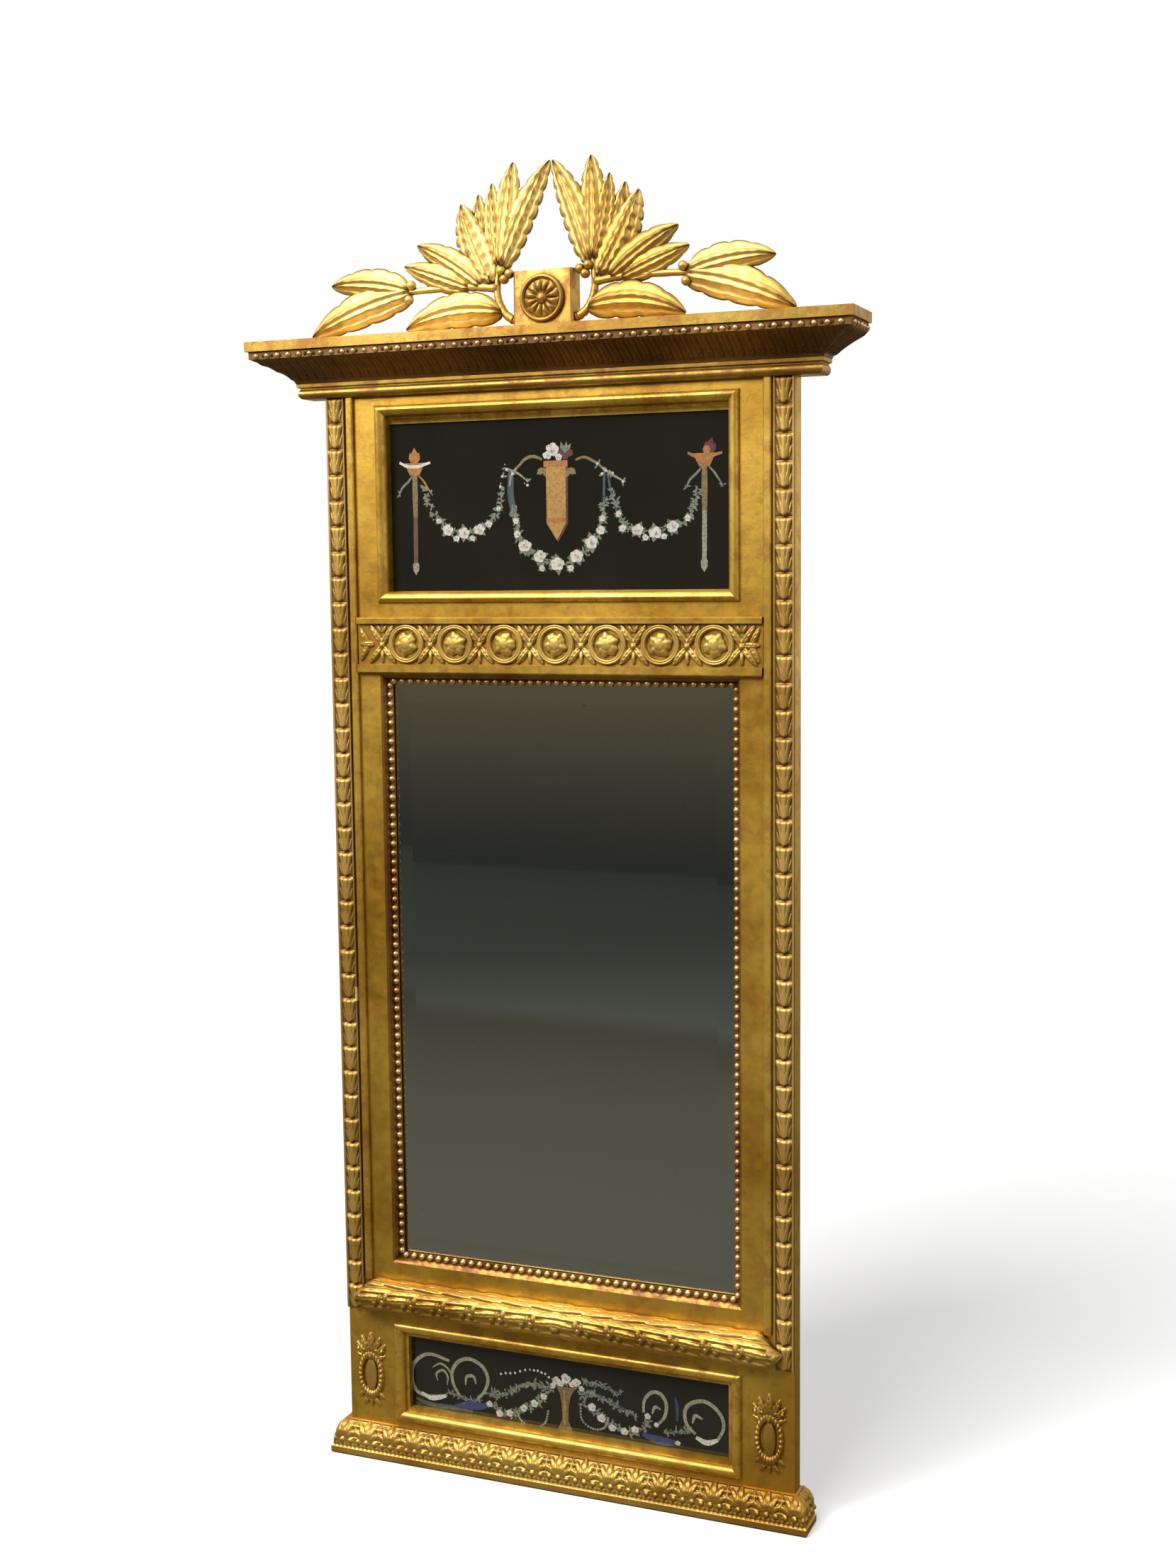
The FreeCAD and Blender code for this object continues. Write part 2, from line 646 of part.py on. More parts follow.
def cornice_cavetto(side):
    """Hollow slope with a row of upright ribs."""
    rise = CAVETTO_TOP - CAVETTO_BOTTOM
    span = CAVETTO_OUT - CAVETTO_IN

    def hollow(share):
        return CAVETTO_IN + span * share ** 1.5, CAVETTO_BOTTOM + rise * share

    shares = (0.0, 0.33, 0.67, 1.0)
    profile = [(0, CAVETTO_BOTTOM)] + [hollow(share) for share in shares] + [(0, CAVETTO_TOP)]
    bar = moulding_run(side, CORNICE_SEAT, TOP_BOARD_REACH, profile)
    spot = run_place(side, CORNICE_SEAT)
    ribs = []
    for middle in run_places(side, CORNICE_SEAT, CAVETTO_IN, RIB_PITCH):
        rings = []
        for share in shares:
            out, z = hollow(share)
            crown = out + (0.3 if share in (shares[0], shares[-1]) else 1.8)
            rings.append([spot(middle - 3.4, out - 1.5, z), spot(middle - 1.2, crown, z),
                          spot(middle + 1.2, crown, z), spot(middle + 3.4, out - 1.5, z)])
        ribs.append(facet_solid(rings))
    return bar.fuse(ribs)


def cornice_bead_strip(side):
    """Small step under the top board with a string of beads on its face."""
    profile = [(0, CAVETTO_TOP), (CAVETTO_OUT + 1, CAVETTO_TOP), (CAVETTO_OUT + 1, CARCASS_TOP), (0, CARCASS_TOP)]
    bar = moulding_run(side, CORNICE_SEAT, TOP_BOARD_REACH, profile)
    spot = run_place(side, CORNICE_SEAT)
    beads = []
    for middle in run_places(side, CORNICE_SEAT, CAVETTO_OUT * 1.9, BEAD_PITCH):
        centre = spot(middle, CAVETTO_OUT + 0.8, CORNICE_BEAD_Z)
        across = spot(middle + 1, CAVETTO_OUT + 0.8, CORNICE_BEAD_Z) - centre
        out = spot(middle, CAVETTO_OUT + 1.8, CORNICE_BEAD_Z) - centre
        beads.append(bead(centre, across, Vector(0, 0, 1), out, CORNICE_BEAD_RADIUS))
    return bar.fuse(beads)


def cornice_block_right():
    return box(BODY_HALF, CORNICE_SEAT, 0, BOARD, CORNICE_BOTTOM, CARCASS_TOP)


def cornice_top_board():
    half = CORNICE_SEAT + TOP_BOARD_REACH
    board = box(-half, half, 0, DEPTH, CARCASS_TOP, TOP_BOARD_TOP)
    return board.cut(crest_dowels(DOWEL_GAP))


# ---- crest -----------------------------------------------------------------------

BLOCK_DEPTH = sum(BLOCK_DEPTHS) / 2
STEM_RADIUS = 5.5
FOOT_OUT = 51.0
FOOT_HEIGHTS = (6.0, 20.0)
UPRIGHT_DOWEL_X = 15.0
SIDE_DOWEL_Z = TOP_BOARD_TOP + sum(FOOT_HEIGHTS) / 2


def crest_dowels(gap):
    """Two dowels fix the block to the top board, and two fix the sprays to the block."""
    radius = DOWEL_RADIUS + gap
    pins = []
    for side in (-1, 1):
        upright = at(side * UPRIGHT_DOWEL_X, BLOCK_DEPTH, TOP_BOARD_TOP - 10 - gap)
        level = at(side * (BLOCK_HALF - 10 - gap), BLOCK_DEPTH, SIDE_DOWEL_Z)
        pins.append(rod(upright, Vector(0, 0, 1), 30 + 2 * gap, radius, 12))
        pins.append(rod(level, Vector(side, 0, 0), 18 + 2 * gap, radius, 12))
    return Part.makeCompound(pins)


def crest_block():
    """Pedestal block with bevelled front arrises."""
    back, front = BLOCK_DEPTHS
    corners = [(-BLOCK_HALF, back), (BLOCK_HALF, back), (BLOCK_HALF, front - 3), (BLOCK_HALF - 3, front),
               (3 - BLOCK_HALF, front), (-BLOCK_HALF, front - 3)]
    return plan_prism(corners, TOP_BOARD_TOP, BLOCK_TOP).cut(crest_dowels(DOWEL_GAP))


def crest_rosette():
    """Dished round with a raised rim, eight petals and a button."""
    front = BLOCK_DEPTHS[1]
    rings = []
    for radius, out in ((ROSETTE_RADIUS - 1, 0), (ROSETTE_RADIUS, 2), (ROSETTE_RADIUS - 1, 5),
                        (ROSETTE_RADIUS - 4, 5.4), (ROSETTE_RADIUS - 6, 3)):
        rings.append([at(radius * math.cos(math.pi * i / 12), front + out,
                         ROSETTE_Z + radius * math.sin(math.pi * i / 12)) for i in range(24)])
    pieces = [facet_solid(rings), front_dome(0, ROSETTE_Z, front + 2.5, (7.5, 7.5), 6.5, 12)]
    for i in range(8):
        turn = math.pi * i / 4
        start = (4 * math.cos(turn), ROSETTE_Z + 4 * math.sin(turn))
        end = (24.5 * math.cos(turn), ROSETTE_Z + 24.5 * math.sin(turn))
        pieces.append(relief_leaf(start, end, front + 2.8, 15.0, 3.6))
    return pieces[0].fuse(pieces[1:])


def branch(points, radius):
    """Tapering round stem through (x, depth, height above the top board) points."""
    rings = []
    for i, point in enumerate(points):
        here = at(point[0], point[1], TOP_BOARD_TOP + point[2])
        before = points[max(i - 1, 0)]
        after = points[min(i + 1, len(points) - 1)]
        along = at(*after) - at(*before)
        side = along.cross(Vector(0, -1, 0)).normalize()
        out = side.cross(along).normalize()
        size = radius * (1 - 0.08 * i)
        rings.append([here + side * (size * math.cos(k * math.pi / 3)) + out * (size * math.sin(k * math.pi / 3))
                      for k in range(6)])
    return facet_solid(rings)


# Leaves of one spray: foot and tip as (x, depth, height above the top board), width, rise, bend
SPRAY_LEAVES = (
    ((60.0, 33.0, 78.0), (1.6, 12.0, 210.0), 40.0, 7.0, -5.0),
    ((62.0, 33.0, 82.0), (53.0, 10.0, 212.0), 42.0, 7.0, -2.0),
    ((64.0, 33.0, 80.0), (80.0, 16.0, 187.0), 30.0, 6.0, -3.0),
    ((74.0, 35.0, 60.0), (121.0, 22.0, 163.0), 47.0, 7.5, -4.0),
    ((78.0, 34.0, 66.0), (100.0, 14.0, 175.0), 34.0, 6.0, -3.0),
    ((88.0, 36.0, 58.0), (177.0, 36.0, 114.0), 37.0, 7.0, 4.0),
    ((104.0, 37.0, 56.0), (193.0, 42.0, 88.0), 33.0, 6.0, 1.0),
    ((188.0, 37.0, 57.0), (301.0, 40.0, 70.0), 41.0, 7.0, 6.0),
    ((186.0, 37.0, 55.0), (328.0, 46.0, 5.5), 48.0, 7.0, 7.0),
    ((60.0, 37.0, 24.0), (190.0, 47.0, 7.6), 46.0, 7.5, 12.0),
)
SPRAY_STEMS = (
    ((44.0, 34.0, 13.0), (56.0, 34.0, 21.0), (64.0, 34.0, 35.0), (67.0, 34.0, 50.0), (65.0, 33.0, 72.0),
     (61.0, 32.0, 96.0)),
    ((66.0, 34.0, 54.0), (100.0, 36.0, 58.0), (150.0, 37.0, 58.0), (206.0, 37.0, 56.0)),
)
SPRAY_BERRIES = ((59.0, 34.0, 74.0), (48.0, 34.0, 70.0), (55.0, 34.0, 64.0), (188.0, 37.0, 46.0), (184.0, 37.0, 64.0))


def laurel_spray_right():
    """Branch of laurel that rises from a foot beside the block and trails along the cornice."""
    foot = box(BLOCK_HALF, FOOT_OUT, BLOCK_DEPTH - 6, BLOCK_DEPTH + 6,
               TOP_BOARD_TOP + FOOT_HEIGHTS[0], TOP_BOARD_TOP + FOOT_HEIGHTS[1])
    pieces = [branch(points, STEM_RADIUS) for points in SPRAY_STEMS]
    for start, end, width, rise, bend in SPRAY_LEAVES:
        low = (start[0], start[1], TOP_BOARD_TOP + start[2])
        high = (end[0], end[1], TOP_BOARD_TOP + end[2])
        pieces.append(free_leaf(low, high, width, rise, bend))
    for x, depth, height in SPRAY_BERRIES:
        pieces.append(front_dome(x, TOP_BOARD_TOP + height, depth - 4, (6.0, 6.0), 11.0, 8))
    return foot.fuse(pieces).cut(crest_dowels(DOWEL_GAP))


# ---- hangers -----------------------------------------------------------------------

def hanger_screw(drop, gap):
    """Countersunk screw of the right-hand hanger; gap makes the hole for it."""
    head = POCKET_DEPTH - STRAP_THICKNESS
    levels = ((3.0 + 2 * gap, head - gap), (1.5 + gap, head + 1.5), (1.5 + gap, head + SCREW_LENGTH))
    rings = []
    for radius, depth in levels:
        centre = at(HANGER_X, depth, HANGER_Z - drop)
        rings.append(ring_points(centre, Vector(1, 0, 0), Vector(0, 0, 1), (radius, radius), 8))
    rings.append([at(HANGER_X, head + SCREW_LENGTH + 1.5 + gap, HANGER_Z - drop)])
    return facet_solid(rings)


def hanger_plate_right():
    """Steel strap with a knuckle rolled at its top, screwed to the pocket floor."""
    floor = POCKET_DEPTH
    low = HANGER_Z - STRAP_LENGTH
    high = HANGER_Z + KNUCKLE_RADIUS
    x0 = HANGER_X - STRAP_HALF
    x1 = HANGER_X + STRAP_HALF
    strap = box(x0, x1, floor - STRAP_THICKNESS, floor, low, high)
    web = box(x0, x1, HANGER_AXIS_DEPTH, floor, high - STRAP_THICKNESS + WIRE_GAP, high)
    start = at(x0, HANGER_AXIS_DEPTH, HANGER_Z)
    knuckle = Part.makeCylinder(KNUCKLE_RADIUS, 2 * STRAP_HALF, start, Vector(1, 0, 0))
    bore = Part.makeCylinder(WIRE_RADIUS + WIRE_GAP, 2 * STRAP_HALF, start, Vector(1, 0, 0))
    holes = [hanger_screw(drop, WIRE_GAP) for drop in SCREW_DROPS]
    return strap.fuse([web, knuckle]).cut(Part.makeCompound([bore] + holes))


def hanger_ring_right():
    """D-shaped wire ring: a straight bar in the knuckle and a bow hanging from it."""
    half = RING_PATH[-1][0]
    bar = Part.makeCylinder(WIRE_RADIUS, 2 * half, at(HANGER_X - half, HANGER_AXIS_DEPTH, HANGER_Z), Vector(1, 0, 0))
    rings = []
    for i, (x, drop) in enumerate(RING_PATH):
        before = RING_PATH[max(i - 1, 0)]
        after = RING_PATH[min(i + 1, len(RING_PATH) - 1)]
        along = Vector(after[0] - before[0], 0, after[1] - before[1]).normalize()
        side = along.cross(Vector(0, 1, 0))
        centre = at(HANGER_X + x, HANGER_AXIS_DEPTH, HANGER_Z + drop)
        rings.append([centre + side * (WIRE_RADIUS * math.cos(k * math.pi / 4))
                      + Vector(0, WIRE_RADIUS * math.sin(k * math.pi / 4), 0) for k in range(8)])
    return bar.fuse(facet_solid(rings))


def hanger_screws():
    right = [hanger_screw(drop, 0.0) for drop in SCREW_DROPS]
    return Part.makeCompound(right + [mirrored(screw) for screw in right])


# ---- export ------------------------------------------------------------------------

os.makedirs("parts", exist_ok=True)

PAIRS = {
    "stile": stile_right(),
    "side_fillet": fillet_right(),
    "carved_band": carved_band_right(),
    "cartouche": cartouche_right(),
    "cornice_block": cornice_block_right(),
    "laurel_spray": laurel_spray_right(),
    "hanger_plate": hanger_plate_right(),
    "hanger_ring": hanger_ring_right(),
}
for name, shape in PAIRS.items():
    save(name + "_right", shape)
    save(name + "_left", mirrored(shape))

for name, (z0, z1) in RAILS.items():
    save(name, rail(z0, z1))
for name, opening in zip(("lower", "mirror", "upper"), OPENINGS):
    save(name + "_backboard", backboard(opening, REBATE_GAP).cut(backboard_pins(PIN_GAP)))
save("lower_panel_glass", plain_glass(LOWER_OPENING))
save("upper_panel_glass", plain_glass(UPPER_OPENING))
save("mirror_plate", mirror_plate())
save("backboard_pins", backboard_pins(0.0))
for side in ("bottom", "right", "top", "left"):
    save("mirror_liner_" + side, mirror_liner(side))
    save("upper_moulding_" + side, upper_moulding(side))
    save("lower_moulding_" + side, lower_moulding(side))
save("upper_cove_strip", upper_cove_strip())
save("frieze_board", frieze_board())
save("guilloche_ornament", guilloche_ornament())
save("laurel_torus", laurel_torus())
for side in ("front", "left", "right"):
    save("plinth_" + side, plinth(side))
    save("cornice_moulding_" + side, cornice_moulding(side))
    save("cornice_cavetto_" + side, cornice_cavetto(side))
    save("cornice_bead_strip_" + side, cornice_bead_strip(side))
save("cornice_top_board", cornice_top_board())
save("crest_block", crest_block())
save("crest_rosette", crest_rosette())
save("crest_dowels", crest_dowels(0.0))
save("hanger_screws", hanger_screws())
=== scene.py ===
import math

import bpy
import numpy as np
from mathutils import Matrix, Vector


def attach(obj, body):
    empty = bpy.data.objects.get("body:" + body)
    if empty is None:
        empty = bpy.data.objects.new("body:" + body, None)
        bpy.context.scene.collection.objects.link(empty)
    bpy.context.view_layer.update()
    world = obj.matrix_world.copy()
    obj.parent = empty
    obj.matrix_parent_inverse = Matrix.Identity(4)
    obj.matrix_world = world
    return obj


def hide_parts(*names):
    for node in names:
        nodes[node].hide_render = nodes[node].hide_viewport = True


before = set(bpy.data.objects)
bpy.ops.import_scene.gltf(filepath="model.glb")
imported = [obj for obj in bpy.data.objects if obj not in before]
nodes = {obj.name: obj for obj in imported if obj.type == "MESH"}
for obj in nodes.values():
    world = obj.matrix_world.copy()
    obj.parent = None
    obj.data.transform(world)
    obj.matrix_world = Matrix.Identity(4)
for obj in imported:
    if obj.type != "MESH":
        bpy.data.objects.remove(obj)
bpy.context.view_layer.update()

# ---- Carcass ------------
# Two stiles and four rails of pine, tenoned together, with gesso, red bole and
# gold leaf on the front and the outer edges. The back is bare, aged pine.

WALL = 43.5


def spot(x, depth, z):
    """A point given as millimetres across, out from the wall and up, in metres."""
    return np.stack(np.broadcast_arrays(x, WALL - depth, z), -1) / 1000.0


class Finish:
    """A maker's finish: one material and the nodes that give it its detail."""

    def __init__(self, name):
        self.material = bpy.data.materials.new(name)
        self.material.use_nodes = True
        self.tree = self.material.node_tree
        self.surface = self.tree.nodes["Principled BSDF"]
        self.place = self.tree.nodes.new("ShaderNodeTexCoord").outputs["Object"]

    def node(self, kind, settings=(), **inputs):
        made = self.tree.nodes.new("ShaderNode" + kind)
        for key, value in settings:
            setattr(made, key, value)
        for key, value in inputs.items():
            socket = made.inputs[int(key[1:])] if key[0] == "i" and key[1:].isdigit() else made.inputs[key]
            if isinstance(value, bpy.types.NodeSocket):
                self.tree.links.new(value, socket)
            else:
                socket.default_value = value
        return made

    def stretched(self, x, y, z):
        return self.node("Mapping", Vector=self.place, Scale=(x, y, z)).outputs[0]

    def noise(self, scale, detail=4.0, rough=0.55, where=None, warp=0.0):
        return self.node("TexNoise", Vector=where or self.place, Scale=scale, Detail=detail,
                         Roughness=rough, Distortion=warp).outputs[0]

    def band(self, value, low, high, to_low=0.0, to_high=1.0):
        made = self.node("MapRange", i0=value, i1=low, i2=high, i3=to_low, i4=to_high)
        made.interpolation_type = "SMOOTHSTEP"
        return made.outputs[0]

    def sum(self, kind, a, b, clamp=False):
        return self.node("Math", (("operation", kind), ("use_clamp", clamp)), i0=a, i1=b).outputs[0]

    def blend(self, share, a, b):
        made = self.node("Mix", (("data_type", "RGBA"),))
        for index, value in ((0, share), (6, a), (7, b)):
            if isinstance(value, bpy.types.NodeSocket):
                self.tree.links.new(value, made.inputs[index])
            else:
                made.inputs[index].default_value = value if index == 0 else (*value, 1)
        return made.outputs[2]

    def give(self, **sockets):
        for key, value in sockets.items():
            socket = self.surface.inputs[key.replace("_", " ")]
            if isinstance(value, bpy.types.NodeSocket):
                self.tree.links.new(value, socket)
            else:
                socket.default_value = value

    def relief(self, height, strength, distance):
        made = self.node("Bump", Height=height, Strength=strength, Distance=distance)
        self.give(Normal=made.outputs[0])
        return self


BOLE = (0.22, 0.050, 0.010)
# Dark brown of the dirt and painted shade in the hollows of the gilding.
DIRT_AND_SHADE = (0.060, 0.026, 0.004)
DARK_GROUND = (0.155, 0.072, 0.014)


def gilding(name, bright, deep, worn=0.5, dirt_and_shade=0.6, rough=0.40, metal=0.80, ground=0.0):
    """Burnished leaf over red bole: mottled gold, bole on rubbed places, dirt and painted shade in hollows.

    A carving's ground, given as its depth from the wall, is coloured a darker brown.
    """
    f = Finish(name)
    broad = f.noise(5.5, 3.0)
    fine = f.noise(70.0, 6.0, 0.65)
    leaf = f.blend(f.band(broad, 0.38, 0.64), bright, deep)
    leaf = f.blend(f.band(fine, 0.42, 0.75, 0.0, 0.45), leaf, deep)
    lift = f.node("NewGeometry").outputs["Pointiness"]
    rub = f.sum("MULTIPLY", f.band(lift, 0.515, 0.60), f.band(f.noise(38.0, 8.0, 0.7), 0.46, 0.60))
    patch = f.band(f.noise(17.0, 10.0, 0.74, warp=0.4), 0.66 - 0.10 * worn, 0.74)
    bare = f.sum("MAXIMUM", f.sum("MULTIPLY", rub, worn), f.sum("MULTIPLY", patch, worn))
    colour = f.blend(bare, leaf, BOLE)
    # Dirt and painted shade: hollows found by ambient occlusion and by low pointiness are darkened.
    closed = f.node("AmbientOcclusion", (("samples", 6),), Distance=0.007).outputs["AO"]
    hollow = f.sum("MAXIMUM", f.band(lift, 0.495, 0.42), f.band(closed, 0.86, 0.38))
    hollow = f.sum("MULTIPLY", hollow, dirt_and_shade)
    colour = f.blend(hollow, colour, DIRT_AND_SHADE)
    # The carving's ground is coloured a darker brown.
    if ground:
        behind_face = f.node("SeparateXYZ", i0=f.place).outputs[1]
        sunk = f.band(behind_face, (WALL - ground - 1.2) / 1000, (WALL - ground - 0.2) / 1000)
        colour = f.blend(f.sum("MULTIPLY", sunk, f.band(fine, 0.3, 0.7, 0.95, 0.6)), colour, DARK_GROUND)
    polish = f.band(fine, 0.25, 0.8, rough - 0.09, rough + 0.14)
    polish = f.sum("ADD", polish, f.sum("MULTIPLY", bare, 0.2), True)
    f.give(Base_Color=colour, Roughness=polish, Metallic=metal, Specular_Tint=(1.0, 0.80, 0.50, 1.0),
           Coat_Weight=0.28, Coat_Roughness=0.42, Coat_IOR=1.6)
    height = f.sum("ADD", f.noise(160.0, 5.0, 0.6), f.sum("MULTIPLY", f.noise(24.0, 4.0), 1.6))
    return f.relief(height, strength=0.22, distance=0.0009)


def bare_pine(f, pale=(0.36, 0.225, 0.115), late=(0.19, 0.10, 0.045), fine=95.0):
    """Colour of old pine with its grain along Z, as a socket of that finish."""
    along = f.stretched(fine, fine, 2.6)
    rings = f.noise(1.0, 6.0, 0.6, along, 1.2)
    grain = f.blend(f.band(rings, 0.40, 0.62), pale, late)
    return f.blend(f.band(f.noise(6.0, 5.0), 0.45, 0.7, 0.0, 0.5), grain, (0.12, 0.075, 0.04))


gilt = gilding("carcass_gold", (0.67, 0.415, 0.052), (0.47, 0.250, 0.017),
               worn=0.30, dirt_and_shade=0.3, rough=0.42)
facing = gilt.node("SeparateXYZ", i0=gilt.node("NewGeometry").outputs["Normal"]).outputs[1]
behind = gilt.band(facing, 0.7, 0.8)
gold_colour = gilt.surface.inputs["Base Color"].links[0].from_socket
gilt.give(Base_Color=gilt.blend(behind, gold_colour, bare_pine(gilt)))
gilt.give(Metallic=gilt.sum("MULTIPLY", gilt.sum("SUBTRACT", 1.0, behind), 0.80))


def finish_nodes(finish, names):
    for name in names:
        slots = nodes[name].data.materials
        slots.clear()
        slots.append(finish.material)


def named(*starts):
    return [name for name in nodes if name.startswith(starts)]


carcass = named("stile_", "bottom_rail", "lower_rail", "frieze_rail", "top_rail", "cornice_block")
finish_nodes(gilt, carcass)

# ---- Backboards, pins and dowels ------------
# Thin sawn pine boards drop into rebates behind each plate and are held by wire
# pins. The dowels of the crest are the same bare wood.

board_pine = Finish("board_pine")
board_colour = bare_pine(board_pine, (0.22, 0.155, 0.095), (0.125, 0.08, 0.045), 60.0)
board_pine.give(Base_Color=board_colour, Roughness=0.72)
board_pine.relief(board_pine.noise(1.0, 8.0, 0.6, board_pine.stretched(220.0, 220.0, 9.0)), 0.35, 0.0006)
finish_nodes(board_pine, named("mirror_backboard", "upper_backboard", "lower_backboard", "crest_dowels"))

pin_iron = Finish("pin_iron")
pin_rust = pin_iron.noise(900.0, 4.0)
pin_colour = pin_iron.blend(pin_iron.band(pin_rust, 0.4, 0.65), (0.11, 0.10, 0.09), (0.13, 0.05, 0.02))
pin_iron.give(Base_Color=pin_colour, Metallic=0.7, Roughness=0.55)
finish_nodes(pin_iron, ["backboard_pins"])

# ---- Hangers ------------
# Pressed steel straps with a rolled knuckle, let into the back of the stiles, and
# the wire rings that swing in them. Both are dull zinc plate.

zinc = Finish("zinc")
zinc_bloom = zinc.noise(420.0, 5.0)
zinc.give(Base_Color=zinc.blend(zinc_bloom, (0.42, 0.41, 0.39), (0.24, 0.235, 0.225)), Metallic=0.9)
zinc.give(Roughness=zinc.band(zinc_bloom, 0.3, 0.7, 0.32, 0.55))
zinc.relief(zinc_bloom, 0.12, 0.0002)
finish_nodes(zinc, named("hanger_"))

# ---- Mirror plate ------------
# Silvered plate with a ground bevel all round. The silver has turned a little grey
# and is foxed at the edges.

plate = Finish("old_silvering")
spots = plate.band(plate.noise(46.0, 9.0, 0.7), 0.67, 0.74)
plate.give(Base_Color=plate.blend(spots, (0.74, 0.77, 0.70), (0.20, 0.18, 0.14)), Metallic=1.0)
plate.give(Roughness=plate.band(plate.noise(30.0, 4.0), 0.2, 0.8, 0.012, 0.035))
finish_nodes(plate, ["mirror_plate"])

# ---- Painted glass ------------
# Black-backed glass over and under the mirror, painted behind in old manner with
# torches, a quiver, scrolls and garlands of roses. The paint shows through the glass.

black_glass = Finish("black_glass")
black = black_glass.blend(black_glass.noise(9.0, 3.0), (0.008, 0.008, 0.006), (0.018, 0.017, 0.012))
sheen = black_glass.band(black_glass.noise(25.0, 3.0), 0.3, 0.8, 0.03, 0.07)
black_glass.give(Base_Color=black, Roughness=sheen, IOR=1.5)
finish_nodes(black_glass, named("upper_panel_glass", "lower_panel_glass"))

PAINT_DEPTH = 10.62
PAINT_STEP = 0.07
TOUCH_STEP = 0.002
TOUCHES = 30


def add_piece(name, points, faces, finish, smooth=True):
    """A piece on the fixed body, from points in metres, with its finish."""
    mesh = bpy.data.meshes.new(name)
    mesh.from_pydata(points.tolist(), [], faces)
    if smooth:
        mesh.shade_smooth()
    mesh.materials.append(finish.material)
    piece = bpy.data.objects.new(name, mesh)
    bpy.context.collection.objects.link(piece)
    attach(piece, "frame")
    return piece


class Painting:
    """Strokes of one paint colour on a panel, kept as one thin sheet."""

    def __init__(self, name, tone, shade, rough=0.35, metal=0.0):
        self.name = name
        self.corners = []
        self.faces = []
        self.finish = Finish(name)
        f = self.finish
        mottled = f.blend(f.band(f.noise(330.0, 5.0, 0.7), 0.40, 0.66), tone, shade)
        f.give(Base_Color=mottled, Roughness=rough, Metallic=metal, Coat_Weight=0.6, Coat_Roughness=0.05)

    def outline(self, points):
        """One touch of paint, a hair above the touches that it may cross."""
        start = len(self.corners)
        lift = TOUCH_STEP * (len(self.faces) % TOUCHES)
        self.corners += [(x, z, lift) for x, z in points]
        self.faces.append(list(range(start, start + len(points))))

    def stroke(self, points, width, swell=0.6):
        """A brush line that swells in its middle."""
        points = np.array(points, float)
        run = np.gradient(points, axis=0)
        side = np.stack([-run[:, 1], run[:, 0]], 1)
        side /= np.maximum(np.linalg.norm(side, axis=1, keepdims=True), 1e-9)
        share = np.linspace(0, 1, len(points))[:, None]
        half = width / 2 * (1 - swell + swell * np.sin(np.pi * np.clip(share, 0.02, 0.98)))
        a, b = points + side * half, points - side * half
        for i in range(len(points) - 1):
            self.outline([a[i], a[i + 1], b[i + 1], b[i]])

    def sweep(self, points, width, swell=0.6):
        """Such a line, led smoothly through a few places."""
        self.stroke(flow(points), width, swell)

    def petal(self, x, z, turn, length, width):
        along = np.array([math.cos(turn), math.sin(turn)])
        across = np.array([-along[1], along[0]])
        rim = [(0, 0), (0.3, 0.42), (0.62, 0.46), (1, 0), (0.62, -0.46), (0.3, -0.42)]
        self.outline([np.array([x, z]) + along * length * u + across * width * v for u, v in rim])

    def disc(self, x, z, radius, squash=1.0, sides=10):
        turns = [k * math.tau / sides for k in range(sides)]
        self.outline([(x + radius * math.cos(t), z + squash * radius * math.sin(t)) for t in turns])

    def lay(self, lift):
        x, z, touch = np.array(self.corners).T
        sheet = spot(x, PAINT_DEPTH + lift + touch, z)
        add_piece(self.name, sheet, self.faces, self.finish, smooth=False)


def flow(points, steps=7):
    """A smooth line through the places where the brush was led."""
    p = np.array(points, float)
    p = np.concatenate([2 * p[:1] - p[1:2], p, 2 * p[-1:] - p[-2:-1]])
    line = []
    for a, b, c, d in zip(p, p[1:], p[2:], p[3:]):
        for t in np.linspace(0, 1, steps, endpoint=False):
            line.append(0.5 * (2 * b + (c - a) * t + (2 * a - 5 * b + 4 * c - d) * t ** 2
                               + (3 * b - a - 3 * c + d) * t ** 3))
    return np.array(line + [p[-2]])


brush = np.random.default_rng(7)
dull_gold = Painting("dull_gold_paint", (0.24, 0.17, 0.075), (0.13, 0.085, 0.04), 0.4, 0.2)
quiver_gold = Painting("quiver_gold_paint", (0.46, 0.27, 0.075), (0.32, 0.17, 0.045), 0.4, 0.3)
orange_gold = Painting("orange_gold_paint", (0.42, 0.18, 0.05), (0.28, 0.11, 0.03), 0.4, 0.3)
rust = Painting("rust_paint", (0.15, 0.070, 0.050), (0.09, 0.045, 0.035))
rose_white = Painting("rose_white_paint", (0.66, 0.63, 0.56), (0.38, 0.36, 0.31))
rose_shade = Painting("rose_shade_paint", (0.40, 0.38, 0.33), (0.28, 0.27, 0.23))
rose_pink = Painting("rose_pink_paint", (0.50, 0.24, 0.21), (0.30, 0.12, 0.11))
wine = Painting("wine_paint", (0.12, 0.030, 0.040), (0.06, 0.015, 0.02))
leaf_grey = Painting("leaf_grey_paint", (0.20, 0.22, 0.165), (0.085, 0.11, 0.075))
scroll_grey = Painting("scroll_grey_paint", (0.33, 0.315, 0.22), (0.15, 0.15, 0.105))
slate = Painting("slate_paint", (0.060, 0.085, 0.095), (0.03, 0.045, 0.05))
small_blue = Painting("small_blue_paint", (0.045, 0.065, 0.17), (0.025, 0.035, 0.09))


def rose(x, z, size):
    """A rose seen from the front: pale lobes round a darker heart."""
    for k in range(5):
        turn = math.tau * (k + brush.random() * 0.4) / 5
        lobe = size * (0.46 + 0.14 * brush.random())
        rose_white.disc(x + size * 0.50 * math.cos(turn), z + size * 0.46 * math.sin(turn), lobe, 0.9, 8)
    rose_white.disc(x, z, size * 0.42, 1.0, 8)
    rose_shade.disc(x + size * 0.16, z - size * 0.22, size * 0.30, 0.6, 7)
    rose_pink.disc(x + brush.normal() * size * 0.2, z + brush.normal() * size * 0.2, size * 0.17, 1.0, 6)


